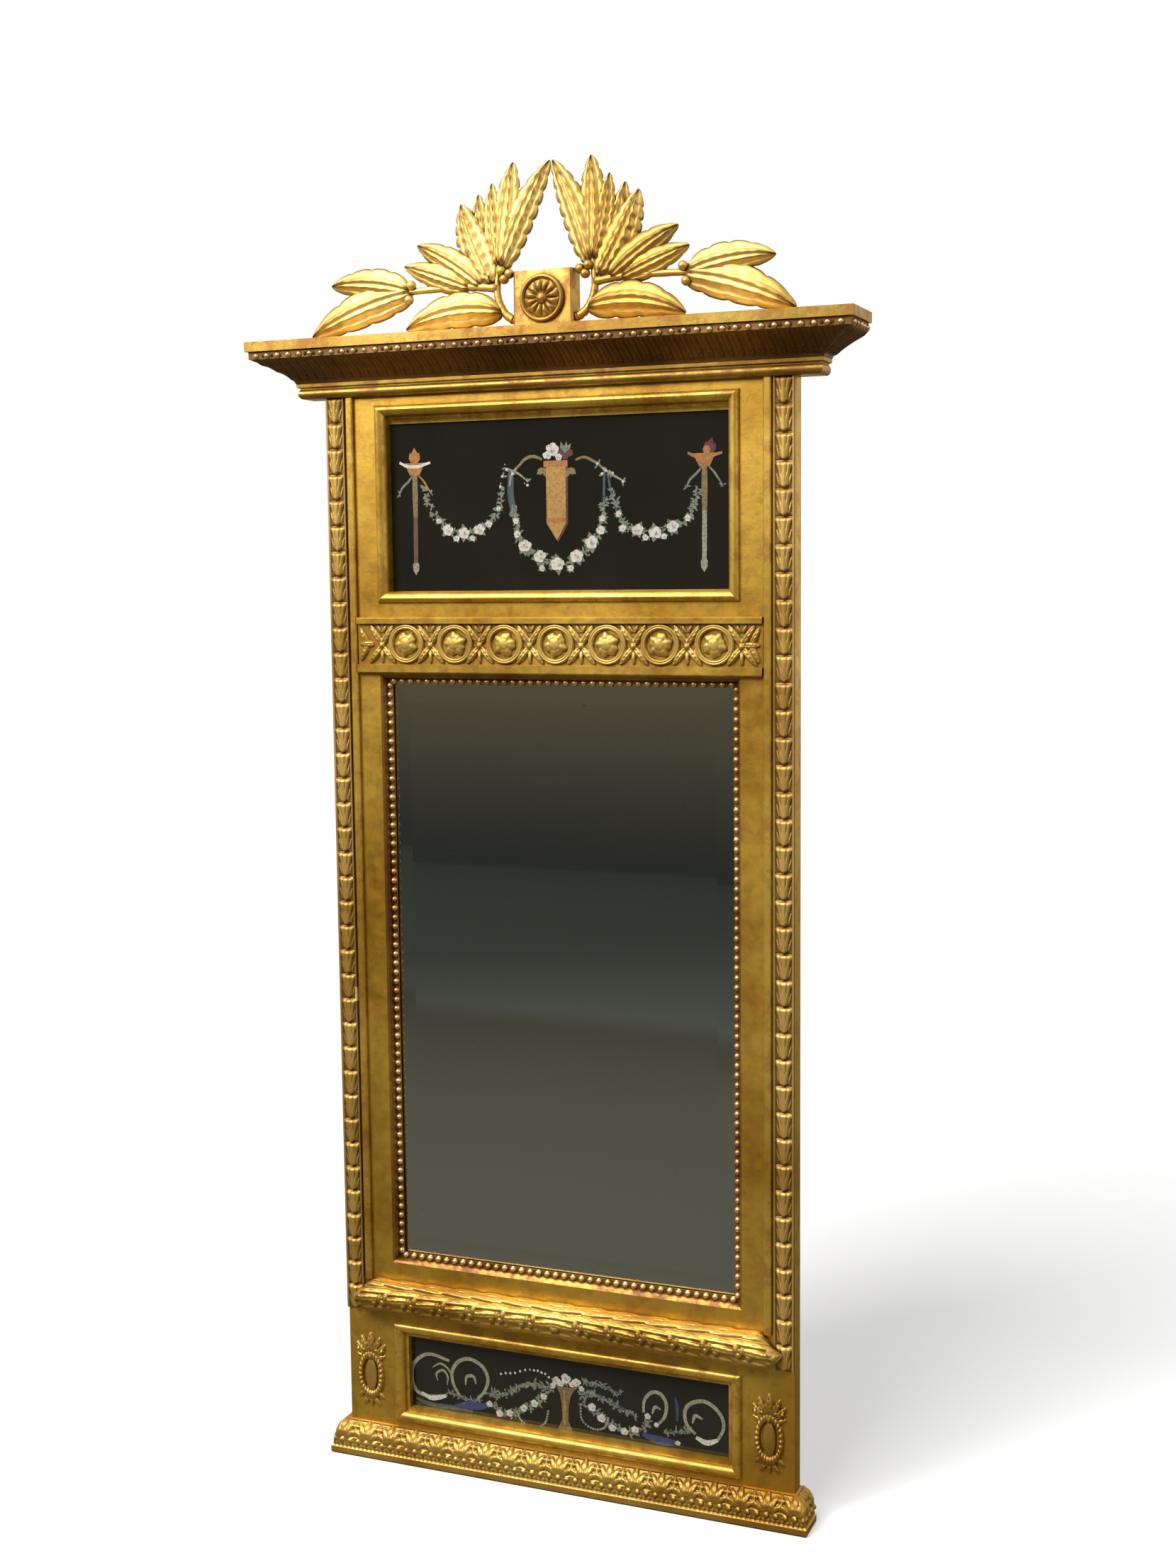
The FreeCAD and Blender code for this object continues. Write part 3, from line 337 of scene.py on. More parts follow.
def sprig(x, z, size):
    """Three little leaves and a pale bud."""
    for _ in range(3):
        leaf_grey.petal(x, z, brush.random() * math.tau, size * (1.0 + brush.random()), size * 0.62)
    scroll_grey.disc(x + brush.normal() * size * 0.5, z + brush.normal() * size * 0.5, size * 0.26, 1.0, 6)


def garland(path, roses, leaf):
    """Leaves all along a hanging line, and roses at their own places on it."""
    for x, z in flow(path, 5):
        sprig(x + brush.normal(), z + brush.normal(), leaf)
    for x, z, size in roses:
        for _ in range(5):
            leaf_grey.petal(x, z, brush.random() * math.tau, size * 1.5, size * 0.8)
        rose(x, z, size)


for right, x in ((False, -200.0), (True, 200.0)):
    dull_gold.stroke([(x, 1290), (x, 1320), (x, 1350)], 8.0, 0.2)
    (scroll_grey if right else rust).stroke([(x - 0.6, 1230), (x - 0.3, 1262), (x, 1294)], 6.5, 0.1)
    scroll_grey.petal(x - 0.8, 1214, math.pi / 2, 22, 10)
    orange_gold.outline([(x - 7, 1344), (x + 7, 1344), (x + 15, 1360), (x - 15, 1360)])
    rim = flow([(x - 22, 1361), (x - 11, 1356), (x + 2, 1355), (x + 12, 1357), (x + 23, 1360)])
    (orange_gold if right else rose_white).stroke(rim, 4.4, 0.3)
    flame = wine if right else orange_gold
    for turn, length in ((0.5, 21), (0.36, 16), (0.64, 16)):
        flame.petal(x + 5 * right, 1359, math.pi * (turn - 0.08 * right), length, 10)
    orange_gold.disc(x + 3 * right, 1364, 5.2)
    leaf_grey.sweep([(x - 2, 1346), (x - 9, 1337), (x - 19, 1328), (x - 24, 1318)], 3.2)
    ribbon = flow([(x + 3, 1346), (x + 12, 1337), (x + 17, 1330), (x + 24, 1319)])
    (leaf_grey if right else orange_gold).stroke(ribbon, 2.8)
    sprig(x - 23, 1320, 3.4)
    sprig(x + 24, 1321, 3.2)

dull_gold.sweep([(-18, 1359), (-30, 1363), (-42, 1360), (-52, 1350)], 4.2, 0.3)
scroll_grey.sweep([(-46, 1357), (-56, 1347), (-62, 1338), (-64, 1326)], 3.4)
scroll_grey.sweep([(-38, 1331), (-50, 1341), (-60, 1346), (-70, 1350)], 2.8)
slate.sweep([(-62, 1344), (-63, 1318), (-60, 1300), (-56, 1282)], 9.0, 0.2)
dull_gold.sweep([(28, 1357), (40, 1360), (54, 1354), (64, 1347)], 3.6, 0.3)
scroll_grey.sweep([(54, 1355), (66, 1345), (78, 1337), (94, 1328)], 3.4)
slate.sweep([(67, 1340), (66, 1310), (66, 1284)], 3.6, 0.2)
slate.sweep([(72, 1336), (76, 1315), (84, 1290)], 3.2, 0.2)
for x, z in ((-74, 1339), (-69, 1350), (-60, 1343), (-40, 1331), (-76, 1327),
             (58, 1350), (70, 1344), (77, 1338), (92, 1329), (66, 1337)):
    sprig(x, z, 4.2)
    rose_white.disc(x + brush.normal() * 2, z + brush.normal() * 2, 1.9, 1.0, 6)
garland([(-186, 1330), (-184, 1312), (-170, 1291), (-152, 1274), (-129, 1268), (-107, 1273), (-89, 1285),
         (-79, 1299), (-74, 1320)],
        ((-166, 1284, 4.0), (-141, 1261, 4.4), (-118, 1261, 4.2), (-94, 1279, 5.0), (-80, 1298, 3.4),
         (-153, 1272, 7.6), (-130, 1268, 8.4), (-108, 1272, 7.8)), 4.4)
garland([(78, 1318), (84, 1296), (92, 1276), (111, 1268), (135, 1264), (158, 1270), (178, 1281),
         (188, 1298), (192, 1316)],
        ((86, 1288, 4.2), (91, 1270, 5.0), (122, 1258, 4.4), (147, 1259, 4.0), (178, 1281, 4.6),
         (111, 1268, 7.8), (135, 1264, 8.6), (158, 1271, 8.0)), 4.4)
garland([(-60, 1300), (-56, 1282), (-52, 1264), (-42, 1250), (-23, 1236), (2, 1226), (28, 1235),
         (49, 1251), (61, 1268), (65, 1288), (67, 1304)],
        ((-56, 1282, 4.6), (-54, 1265, 5.0), (-20, 1221, 4.4), (20, 1221, 4.6), (62, 1268, 6.0),
         (64, 1283, 4.4), (-43, 1250, 9.0), (-23, 1236, 8.6), (2, 1226, 9.6), (28, 1236, 9.0),
         (49, 1253, 9.4)), 4.6)

wine.outline([(-12, 1357), (17.5, 1357), (17, 1277), (3, 1254), (-11, 1276)])
quiver_gold.outline([(-13, 1357), (14.5, 1357), (14, 1278), (1.5, 1256), (-12.5, 1278)])
for k in range(5):
    dull_gold.stroke([(-10 + k * 5.4, 1350), (-9.4 + k * 5.2, 1282)], 1.1, 0.0)
orange_gold.outline([(-16, 1349), (17, 1349), (17, 1357), (-16, 1357)])
orange_gold.outline([(-13, 1279), (14.5, 1279), (13.5, 1285), (-13, 1285)])
for x, z, turn in ((-15, 1348, 1.2), (-15, 1348, 1.6), (18, 1347, -0.2), (18, 1347, -0.6)):
    dull_gold.petal(x, z, math.pi * turn, 13, 9)
for x, z, size in ((5, 1361, 5.0), (-11, 1364, 6.0), (-4, 1371, 9.6)):
    rose(x, z, size)
for x, z in ((14, 1362), (20, 1366), (8, 1366)):
    wine.disc(x, z, 4.6)
for turn in (0.30, 0.42, 0.58):
    leaf_grey.petal(12, 1364, math.pi * turn, 17, 6)

scroll_grey.sweep([(-178, 93), (-206, 88), (-224, 92), (-232, 108), (-228, 132), (-206, 148),
                   (-174, 143)], 5.6, 0.3)
rose_white.sweep([(-217, 91), (-204, 86), (-192, 88), (-180, 92)], 7.0, 0.4)
scroll_grey.sweep([(-192, 112), (-194, 122), (-184, 128), (-177, 120), (-178, 108)], 3.4)
scroll_grey.sweep([(-200, 130), (-188, 137), (-176, 131), (-168, 116)], 3.2)
scroll_grey.sweep([(-160, 97), (-168, 110), (-170, 128), (-160, 144), (-143, 150), (-124, 142),
                   (-116, 126), (-121, 108), (-132, 95)], 5.4, 0.3)
scroll_grey.sweep([(-150, 112), (-148, 124), (-138, 126), (-134, 116)], 4.6)
scroll_grey.sweep([(110, 114), (111, 130), (121, 143), (134, 143), (142, 130), (139, 112),
                   (128, 99)], 5.0, 0.3)
scroll_grey.sweep([(122, 114), (126, 124), (134, 122)], 4.2)
small_blue.sweep([(154, 142), (157, 128), (157, 110)], 4.0, 0.4)
scroll_grey.sweep([(182, 96), (170, 108), (168, 126), (178, 138), (197, 142), (215, 130),
                   (221, 112), (213, 93)], 5.4, 0.3)
scroll_grey.sweep([(178, 110), (182, 121), (192, 118)], 4.6)
rose_white.sweep([(183, 92), (198, 87), (213, 93)], 7.4, 0.4)
small_blue.sweep([(-166, 80), (-146, 84), (-128, 85), (-116, 89)], 11.0, 0.6)
small_blue.sweep([(108, 84), (126, 80), (142, 79), (158, 80)], 12.0, 0.6)
slate.sweep([(-226, 82), (-200, 76), (-170, 77), (-140, 76)], 7.0, 0.5)
for path, size in (([(-114, 106), (-92, 107), (-72, 122), (-47, 129), (-26, 126)], 5.0),
                   ([(-112, 92), (-92, 82), (-74, 86), (-60, 96), (-40, 104), (-30, 118)], 4.8),
                   ([(24, 126), (42, 128), (66, 120), (96, 108)], 5.0),
                   ([(26, 110), (44, 104), (58, 92), (82, 84), (104, 88), (116, 104)], 4.8),
                   ([(24, 143), (46, 142), (74, 135)], 4.0), ([(-176, 98), (-150, 92), (-128, 94)], 3.6),
                   ([(140, 92), (164, 96), (176, 104)], 3.6)):
    slate.sweep(path, 4.4, 0.3)
    for x, z in flow(path, 5):
        sprig(x + brush.normal() * 1.4, z + brush.normal() * 1.6, size)
for path in ([(-73, 86), (-66, 74), (-48, 68), (-32, 77), (-27, 94)],
             [(20, 110), (22, 90), (38, 80), (54, 84), (60, 98)]):
    for x, z in flow(path, 5):
        scroll_grey.disc(x, z, 1.7, 1.0, 6)
for x, z in flow([(-96, 136), (-75, 141), (-53, 149), (-36, 147), (-20, 140)], 3):
    (rose_white if brush.random() > 0.4 else rose_pink).disc(x, z + brush.normal() * 0.8, 1.8, 1.0, 6)
for x, z, size in ((-114, 91, 5.0), (-99, 80, 5.6), (-84, 83, 5.4), (-63, 93, 5.6), (-47, 102, 5.8),
                   (-33, 114, 5.0), (37, 110, 6.0), (50, 97, 6.4), (66, 86, 5.4), (83, 84, 5.6),
                   (98, 89, 5.6), (116, 110, 4.6), (158, 80, 3.6), (128, 100, 3.6)):
    rose(x, z, size)
dull_gold.outline([(-15, 132), (13, 132), (6, 120), (3, 104), (2.5, 86), (8, 74), (8, 69.5), (-12, 69.5),
                   (-12, 74), (-6.5, 86), (-7, 104), (-9, 120)])
quiver_gold.stroke([(-3.5, 128), (-3, 104), (-3, 78)], 4.6, 0.5)
for x, z, size in ((-15, 139, 6.4), (15, 141, 6.4), (-1, 144, 7.4), (-20, 131, 4.4), (22, 133, 4.4),
                   (-8, 136, 4.8), (8, 137, 4.8)):
    rose(x, z, size)
    sprig(x, z - 5, 4.4)
for layer, painting in enumerate((slate, leaf_grey, small_blue, scroll_grey, wine, rust, dull_gold,
                                  quiver_gold, orange_gold, rose_white, rose_shade, rose_pink)):
    painting.lay(PAINT_STEP * layer)

# ---- Mitred sections ------------
# Plain run mouldings, gilt over bole and rubbed on their crests, and the beaded
# liner of the mirror, whose beads are turned in composition and pressed on.

section_gold = gilding("section_gold", (0.72, 0.465, 0.075), (0.49, 0.275, 0.024),
                       worn=0.50, dirt_and_shade=0.35, rough=0.38, metal=0.72)
finish_nodes(section_gold, named("upper_moulding_", "lower_moulding_", "upper_cove_strip", "side_fillet_"))
liner_gold = gilding("liner_gold", (0.36, 0.185, 0.022), (0.18, 0.070, 0.008), worn=0.7, dirt_and_shade=0.7, rough=0.45)
finish_nodes(liner_gold, named("mirror_liner_"))
# The beads get a paler, brighter gold than the other gilding: a painted highlight for their glints.
bead_gold_painted_glint = gilding("bead_gold_painted_glint", (0.86, 0.62, 0.30), (0.62, 0.34, 0.09), worn=0.35, dirt_and_shade=0.2, rough=0.30)

ball = bpy.data.meshes.new("ball")
ball_corners = []
ball_faces = []
for ring in range(7):
    lift = math.pi / 2 * ring / 6
    for k in range(12):
        ball_corners.append((math.cos(lift) * math.cos(math.tau * k / 12), math.sin(lift),
                             math.cos(lift) * math.sin(math.tau * k / 12)))
    if ring:
        for k in range(12):
            a, b = (ring - 1) * 12 + k, (ring - 1) * 12 + (k + 1) % 12
            ball_faces.append((a, b, b + 12, a + 12))
ball_corners = np.array(ball_corners)
ball_faces = np.array(ball_faces)


def string_of_beads(name, centres, outs, radius):
    """Half-round beads at (x, depth, z) centres, each facing out along (x, depth)."""
    corners, faces = [], []
    for k, ((x, depth, z), (ox, od)) in enumerate(zip(centres, outs)):
        size = radius * (1 + 0.05 * brush.normal())
        side, out, up = ball_corners[:, 0] * size, ball_corners[:, 1] * size, ball_corners[:, 2] * size
        corners.append(spot(x + side * od + out * ox, depth + out * od - side * ox, z + up))
        faces.append(ball_faces + k * len(ball_corners))
    add_piece(name, np.concatenate(corners), np.concatenate(faces).tolist(), bead_gold_painted_glint)


def even(start, end, pitch):
    """The middles of equal steps from start to end."""
    count = round((end - start) / pitch)
    step = (end - start) / count
    return [start + step * (k + 0.5) for k in range(count)]


LINER_OUT, LINER_DEPTH = 241.9, 13.4
LINER_LOW, LINER_HIGH = 286.1, 1074.9
LINER_PITCH = 12.5
level_run = even(-LINER_OUT, LINER_OUT, LINER_PITCH)
upright_run = even(LINER_LOW, LINER_HIGH, LINER_PITCH)
liner_places = [(x, LINER_DEPTH, z) for z in (LINER_LOW, LINER_HIGH) for x in level_run]
liner_places += [(x, LINER_DEPTH, z) for x in (-LINER_OUT, LINER_OUT) for z in upright_run]
string_of_beads("liner_beads", liner_places, [(0, 1)] * len(liner_places), radius=4.3)

# ---- Carved bands ------------
# A strip on each stile, carved with a column of hanging bellflowers. The ground is
# coloured a darker brown, the hollows hold dirt and painted shade, and the tops are
# rubbed bright.

carved_gold = gilding("carved_gold", (0.66, 0.42, 0.090), (0.38, 0.195, 0.020),
                      worn=0.45, dirt_and_shade=0.95, rough=0.42)
BOARD_FACE = 25.0


def carved(name, stands_for, u, v, place, finish, flip=False):
    """A carved face: place(u, v) gives its points over a grid, in metres."""
    points = place(*np.meshgrid(u, v, indexing="ij"))
    rows, columns = points.shape[:2]
    index = np.arange(rows * columns).reshape(rows, columns)
    faces = np.stack([index[:-1, :-1], index[1:, :-1], index[1:, 1:], index[:-1, 1:]], -1).reshape(-1, 4)
    if flip:
        faces = faces[:, ::-1]
    piece = add_piece(name, points.reshape(-1, 3), faces.tolist(), finish)
    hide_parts(*stands_for)


def unit(x):
    return np.clip(x, 0, 1)


def leaf_height(u, v, foot, tip, width, rise, veins=0.0):
    """Height of one carved leaf with a midrib, over a grid; below zero outside it."""
    du, dv = tip[0] - foot[0], tip[1] - foot[1]
    length = math.hypot(du, dv)
    s = ((u - foot[0]) * du + (v - foot[1]) * dv) / length ** 2
    t = ((v - foot[1]) * du - (u - foot[0]) * dv) / length
    inside = np.clip(s, 0.001, 0.999)
    half = width / 2 * 1.55 * (1 - inside) ** 0.5 * (inside + 0.06) ** 0.35
    across = np.abs(t) / half
    crown = rise * unit(1 - across ** 2) ** 0.6 * (0.55 + 0.45 * np.sin(np.pi * inside))
    rib = 0.22 * rise * np.exp(-(across / 0.16) ** 2)
    vein = veins * rise * np.cos(2 * np.pi * (inside * 4.5 - across * 0.9)) * unit(1 - across)
    return np.where((s > 0) & (s < 1) & (across < 1), crown - rib + vein, -9.0)


def with_leaves(h, u, v, leaves, veins=0.0):
    for foot, tip, width, rise in leaves:
        h = np.maximum(h, leaf_height(u, v, foot, tip, width, rise, veins))
    return h


def knob_height(u, v, x, z, radius, rise):
    """Height of a round knob over a grid; below zero outside it."""
    reach = ((u - x) ** 2 + (v - z) ** 2) / radius ** 2
    return np.where(reach < 1, rise * np.sqrt(unit(1 - reach)), -9.0)


band_gold = gilding("band_gold", (0.64, 0.41, 0.105), (0.42, 0.235, 0.034),
                    worn=0.40, dirt_and_shade=0.9, rough=0.46, metal=0.5, ground=28.4)
BAND_LOW, BAND_HIGH = 207.0, 1447.0
BAND_INNER, BAND_WIDTH, BAND_GROUND = 294.0, 26.0, 28.0
FLOWERS = 37
CELL = (BAND_HIGH - BAND_LOW) / FLOWERS
GESSO = (0.74, 0.50, 0.24)


def band_height(u, v):
    """u across the band from its inner edge, v up: one hanging bellflower per cell."""
    cell = (v - BAND_LOW) % CELL
    number = np.floor((v - BAND_LOW) / CELL)
    wear = 1 + 0.14 * np.sin(number * 12.9898) + 0.10 * np.sin(number * 78.2)
    out = np.abs(u - BAND_WIDTH / 2 + 0.5 * np.sin(number * 5.3))
    half = np.interp(cell, (2.2, 4.5, 8, 14, 22, 28, 31, 32.6), (3.2, 5.4, 5.8, 6.6, 8.2, 10.4, 11.0, 9.8))
    crown = 4.8 * unit(1 - (out / half) ** 2) ** 0.5 * np.clip((33.6 - cell) / 4.5, 0.2, 1) ** 0.6
    crown -= 1.3 * np.exp(-((out / half - 0.42) / 0.10) ** 2) * unit((cell - 12) / 8)
    h = np.where((out < half) & (cell > 2.2) & (cell < 32.4), np.maximum(crown, 0.9), 0.2)
    h = np.maximum(h, knob_height(u, cell, 13, 4.4, 3.6, 4.4))
    h = with_leaves(h, u, cell, (((7.4, 3), (3.8, 18), 3.6, 1.9), ((18.6, 3), (22.2, 18), 3.6, 1.9)))
    h = np.where((cell < 1.2) & (u > 2.2) & (u < 23.4), -0.5, h * wear)
    return np.maximum(h, np.where((u < 1.9) | (u > 23.8), 2.4, -9))


def chipped(f, across, half, low, high):
    """A knock that has taken the gold off and shows the gesso under it."""
    x, _, z = f.node("SeparateXYZ", i0=f.place).outputs
    ragged = f.sum("MULTIPLY", f.noise(140.0, 4.0), 0.006)
    from_middle = f.sum("ABSOLUTE", f.sum("SUBTRACT", x, across / 1000), 0.0)
    from_height = f.sum("ABSOLUTE", f.sum("SUBTRACT", z, (low + high) / 2000), 0.0)
    edge_x, edge_z = half / 1000 + 0.003, (high - low) / 2000 + 0.003
    gone = f.sum("MULTIPLY", f.band(f.sum("ADD", from_middle, ragged), edge_x, edge_x - 0.0012),
                 f.band(f.sum("ADD", from_height, ragged), edge_z, edge_z - 0.0012))
    gold = f.surface.inputs["Base Color"].links[0].from_socket
    shine = f.sum("MULTIPLY", f.sum("SUBTRACT", 1.0, gone), 0.6)
    f.give(Base_Color=f.blend(gone, gold, GESSO), Metallic=shine)


chipped(band_gold, across=-294.5, half=3.8, low=640.0, high=660.0)

band_u = np.concatenate([[0.0], np.linspace(0.05, BAND_WIDTH - 0.05, 38), [BAND_WIDTH]])
band_v = np.linspace(BAND_LOW, BAND_HIGH, 1430)
for side, word in ((-1, "left"), (1, "right")):
    def band_place(u, v, side=side):
        h = BAND_GROUND + band_height(u, v)
        return spot(side * (BAND_INNER + u), np.where((u <= 0.0) | (u >= BAND_WIDTH), BOARD_FACE, h), v)

    carved("carved_band_face_" + word, ["carved_band_" + word], band_u, band_v, band_place, band_gold,
           flip=side < 0)

# ---- Frieze ------------
# A sunk board with a raised fillet above and below, and on it a cast guilloche of
# rings and bosses tied by leaves, pressed in composition and gilt.

finish_nodes(section_gold, ["frieze_board"])
frieze_gold = gilding("frieze_gold", (0.68, 0.445, 0.105), (0.44, 0.25, 0.035),
                      worn=0.45, dirt_and_shade=0.9, rough=0.46, metal=0.65, ground=27.8)
FRIEZE_AXIS, FRIEZE_GROUND = 1124.5, 28.0
RING_PITCH = 71
RING_MIDDLES = [5 + RING_PITCH * (k - 3) for k in range(7)]
RING_RADIUS, RING_HALF, BOSS_RADIUS = 22.4, 4.0, 15.3
LAST_LEAVES = 268.0


def frieze_height(u, v):
    h = np.full_like(u, -0.6)
    for x in RING_MIDDLES:
        near = np.hypot(u - x, v - FRIEZE_AXIS)
        rope = near - RING_RADIUS
        band = 4.8 * np.sqrt(unit(1 - (rope / RING_HALF) ** 2)) - 1.3 * np.exp(-(rope / 0.9) ** 2)
        h = np.maximum(h, np.where(np.abs(rope) < RING_HALF, band, -9))
        turn = np.arctan2(v - FRIEZE_AXIS, u - x)
        edge = BOSS_RADIUS * (1 - 0.10 * np.cos(5 * turn + x) - 0.06 * np.cos(9 * turn))
        dome = 7.0 * np.sqrt(unit(1 - (near / edge) ** 2)) - 0.5 * np.exp(-((near - 7.5) / 1.2) ** 2)
        h = np.maximum(h, np.where(near < edge, dome, -9))
    for x in [m - RING_PITCH / 2 for m in RING_MIDDLES] + [RING_MIDDLES[-1] + RING_PITCH / 2]:
        for side in (-1, 1):
            h = with_leaves(h, u, v, (((x, 1124), (x + side * 17, 1149.5), 11, 5.2),
                                      ((x + side * 2, 1120), (x + side * 19, 1099), 11, 5.0),
                                      ((x + side * 1.5, 1139), (x + side * 6.5, 1150), 5, 3.4)), 0.06)
        h = np.maximum(h, knob_height(u, v, x, 1122.5, 4.4, 5.6))
        h = np.maximum(h, leaf_height(u, v, (x, 1116), (x, 1099), 7, 3.8))
    for side in (-1, 1):
        end = side * LAST_LEAVES
        for foot, tip in (((end - side * 4, 1122), (end + side * 8, 1146)),
                          ((end - side * 4, 1126), (end + side * 8, 1102)),
                          ((end - side * 12, 1124), (end + side * 9, 1124))):
            h = np.maximum(h, leaf_height(u, v, foot, tip, 10, 4.6, 0.06))
    return h


carved("guilloche_face", ["guilloche_ornament"], np.linspace(-278, 278, 620), np.linspace(1097.6, 1150.6, 62),
       lambda u, v: spot(u, FRIEZE_GROUND + frieze_height(u, v), v), frieze_gold)

# ---- Laurel torus ------------
# Half-round bar under the mirror, carved with long lapped laurel leaves on top and
# short leaves with berries in threes below, running out from the middle.

TORUS_RADIUS = 21.32
TORUS_AXIS = 50.0 - TORUS_RADIUS
TORUS_HEIGHT, TORUS_HALF = 231.0, 308.0
TORUS_PITCH, LAST_LEAF = 44.0, 292.0
TORUS_LEAVES = ((10, -30, 58, 9.5, 3.0, -2.5), (31, -8, 62, 11, 3.6, -3.5), (54, -24, 60, 11.5, 3.8, 3.0),
                (82, -6, 40, 13.5, 4.8, 3.0), (124, -20, 48, 13, 3.6, 4.0), (152, -2, 44, 12, 2.8, 3.0))
NOSE = 20.0
END_RISES = (-25.0, -17.0, -8.0, 1.0, 13.0, 24.0)
END_INSETS = (14.0, 5.0, 0.0, 1.0, 8.0, 21.0)


def torus_height(u, v):
    """u along the bar, v round it in degrees down from the top."""
    h = np.zeros_like(u)
    round_mm = v * math.pi / 180 * TORUS_RADIUS
    out = np.abs(u)
    for angle, start, length, width, rise, lean in TORUS_LEAVES:
        middle = angle * math.pi / 180 * TORUS_RADIUS
        while start < LAST_LEAF:
            tip = (start + length, middle + lean)
            h = np.maximum(h, leaf_height(out, round_mm, (start, middle), tip, width, rise, 0.04))
            start += TORUS_PITCH
    for k in range(7):
        for dx, angle, radius in ((30, 78, 5.0), (38.5, 82, 5.0), (34, 97, 4.8), (3, 101, 4.4)):
            middle = angle * math.pi / 180 * TORUS_RADIUS
            h = np.maximum(h, knob_height(out, round_mm, TORUS_PITCH * k + dx, middle, radius, 5.4))
    return np.minimum(h, 4.6) - 0.4


def torus_place(u, v):
    turn = np.radians(v)
    end = TORUS_HALF - np.interp(TORUS_RADIUS * np.cos(turn), END_RISES, END_INSETS)
    nose = np.sqrt(1 - unit((np.abs(u) - end + NOSE) / NOSE) ** 2)
    reach = (TORUS_RADIUS + torus_height(u, v)) * nose
    depth = np.where((v < 1) | (v > 179), BOARD_FACE, TORUS_AXIS + reach * np.sin(turn))
    return spot(u, depth, TORUS_HEIGHT + reach * np.cos(turn))


carved("laurel_torus_face", ["laurel_torus"], np.linspace(-TORUS_HALF, TORUS_HALF, 640),
       np.linspace(0, 180, 74), torus_place, carved_gold)

# ---- Cartouches ------------
# An oval wreath round a plain boss on each lower corner, with a crown of leaves and
# a drop of leaves below, pressed in composition.

CARTOUCHE_OUT = 287.0
WREATH_MIDDLE, WREATH_WIDE, WREATH_TALL = 113, 19.5, 35.5
WREATH, WREATH_HALF = 0.82, 0.18


def cartouche_height(u, v):
    u = np.abs(u)
    reach = np.hypot(u / WREATH_WIDE, (v - WREATH_MIDDLE) / WREATH_TALL)
    turn = np.arctan2((v - WREATH_MIDDLE) / WREATH_TALL, u / WREATH_WIDE)
    h = np.full_like(u, -0.8)
    wreath = 5.6 * np.sqrt(unit(1 - ((reach - WREATH) / WREATH_HALF) ** 2))
    wreath *= 1 + 0.16 * np.cos(26 * turn)
    h = np.maximum(h, np.where(np.abs(reach - WREATH) < WREATH_HALF, wreath, -9))
    inner = np.hypot(u / 9.5, (v - WREATH_MIDDLE) / 24.5)
    h = np.maximum(h, np.where(inner < 1, 1.0 + 3.6 * np.sqrt(unit(1 - inner ** 2)), -9))
    h = with_leaves(h, u, v, (((0, 142), (0, 173), 13, 6.6), ((3, 141), (14, 167), 11, 5.8),
                              ((6, 138), (22, 158), 11, 5.2), ((9, 136), (22, 142), 8, 4.6),
                              ((2, 84), (13, 69), 9, 4.6), ((0, 84), (0, 67), 8, 4.4),
                              ((8, 90), (20, 80), 8, 4.0)), 0.08)
    for x, z, radius in ((0, 140, 4.6), (9, 149, 3.4), (18, 149, 2.8), (0, 154, 3.0)):
        h = np.maximum(h, knob_height(u, v, x, z, radius, 6.4))
    return h


for side, word in ((-1, "left"), (1, "right")):
    def cartouche_place(u, v, side=side):
        return spot(u + side * CARTOUCHE_OUT, BOARD_FACE + cartouche_height(u, v), v)

    carved("cartouche_face_" + word, ["cartouche_" + word], np.linspace(-24, 24, 64),
           np.linspace(65, 175, 132), cartouche_place, carved_gold)

# ---- Plinth ------------
# Foot moulding along the front and both sides, mitred at the corners: a plain fillet
# and a swelling slope carved with upright leaves and darts.

PLINTH_PATH = [(0.0, 0.0), (20.0, 0.0), (22.0, 2.0), (22.0, 10.0), (19.6, 12.2), (19.2, 20.2), (16.6, 31.7),
               (12.1, 39.7), (5.4, 44.9), (1.5, 46.0), (0.0, 46.0)]
PLINTH_SEAT = 320.0
PLINTH_PITCH = 36


def along_path(path, rows):
    """Points spread evenly over a moulding's profile, as (out, z) arrays, with its outward lean."""
    path = np.array(path)
    gaps = np.r_[0, np.cumsum(np.hypot(*np.diff(path, axis=0).T))]
    reach = np.unique(np.r_[np.linspace(0, gaps[-1], rows), gaps])
    out, z = np.interp(reach, gaps, path[:, 0]), np.interp(reach, gaps, path[:, 1])
    lean = np.stack([np.gradient(z), -np.gradient(out)], 1)
    lean /= np.maximum(np.linalg.norm(lean, axis=1, keepdims=True), 1e-9)
    return reach, out, z, lean


def run_face(name, stands_for, side, seat, path, rows, height, finish, pitch=0.95):
    """The carved face of a moulding run, front or return, with its mitres."""
    reach, out, z, lean = along_path(path, rows)
    if side == "front":
        shares = np.linspace(-1, 1, int(2 * (seat + out.max()) / pitch))
    else:
        shares = np.linspace(0, 1, int((BOARD_FACE + out.max()) / pitch))

    def place(u, v):
        o, up = np.interp(v, reach, out), np.interp(v, reach, z)
        lo, lz = np.interp(v, reach, lean[:, 0]), np.interp(v, reach, lean[:, 1])
        if side == "front":
            where = u * (seat + o)
            h = height(where, v) * unit((1 - np.abs(u)) * seat / 5)
            return spot(where + u * lo * h, BOARD_FACE + o + lo * h, up + lz * h)
        way = 1 if side == "right" else -1
        where = u * (BOARD_FACE + o)
        h = height(where, v) * unit((1 - u) * 9)
        return spot(way * (seat + o + lo * h), where, up + lz * h)

    carved(name, stands_for, shares, reach, place, finish, flip=side == "left")


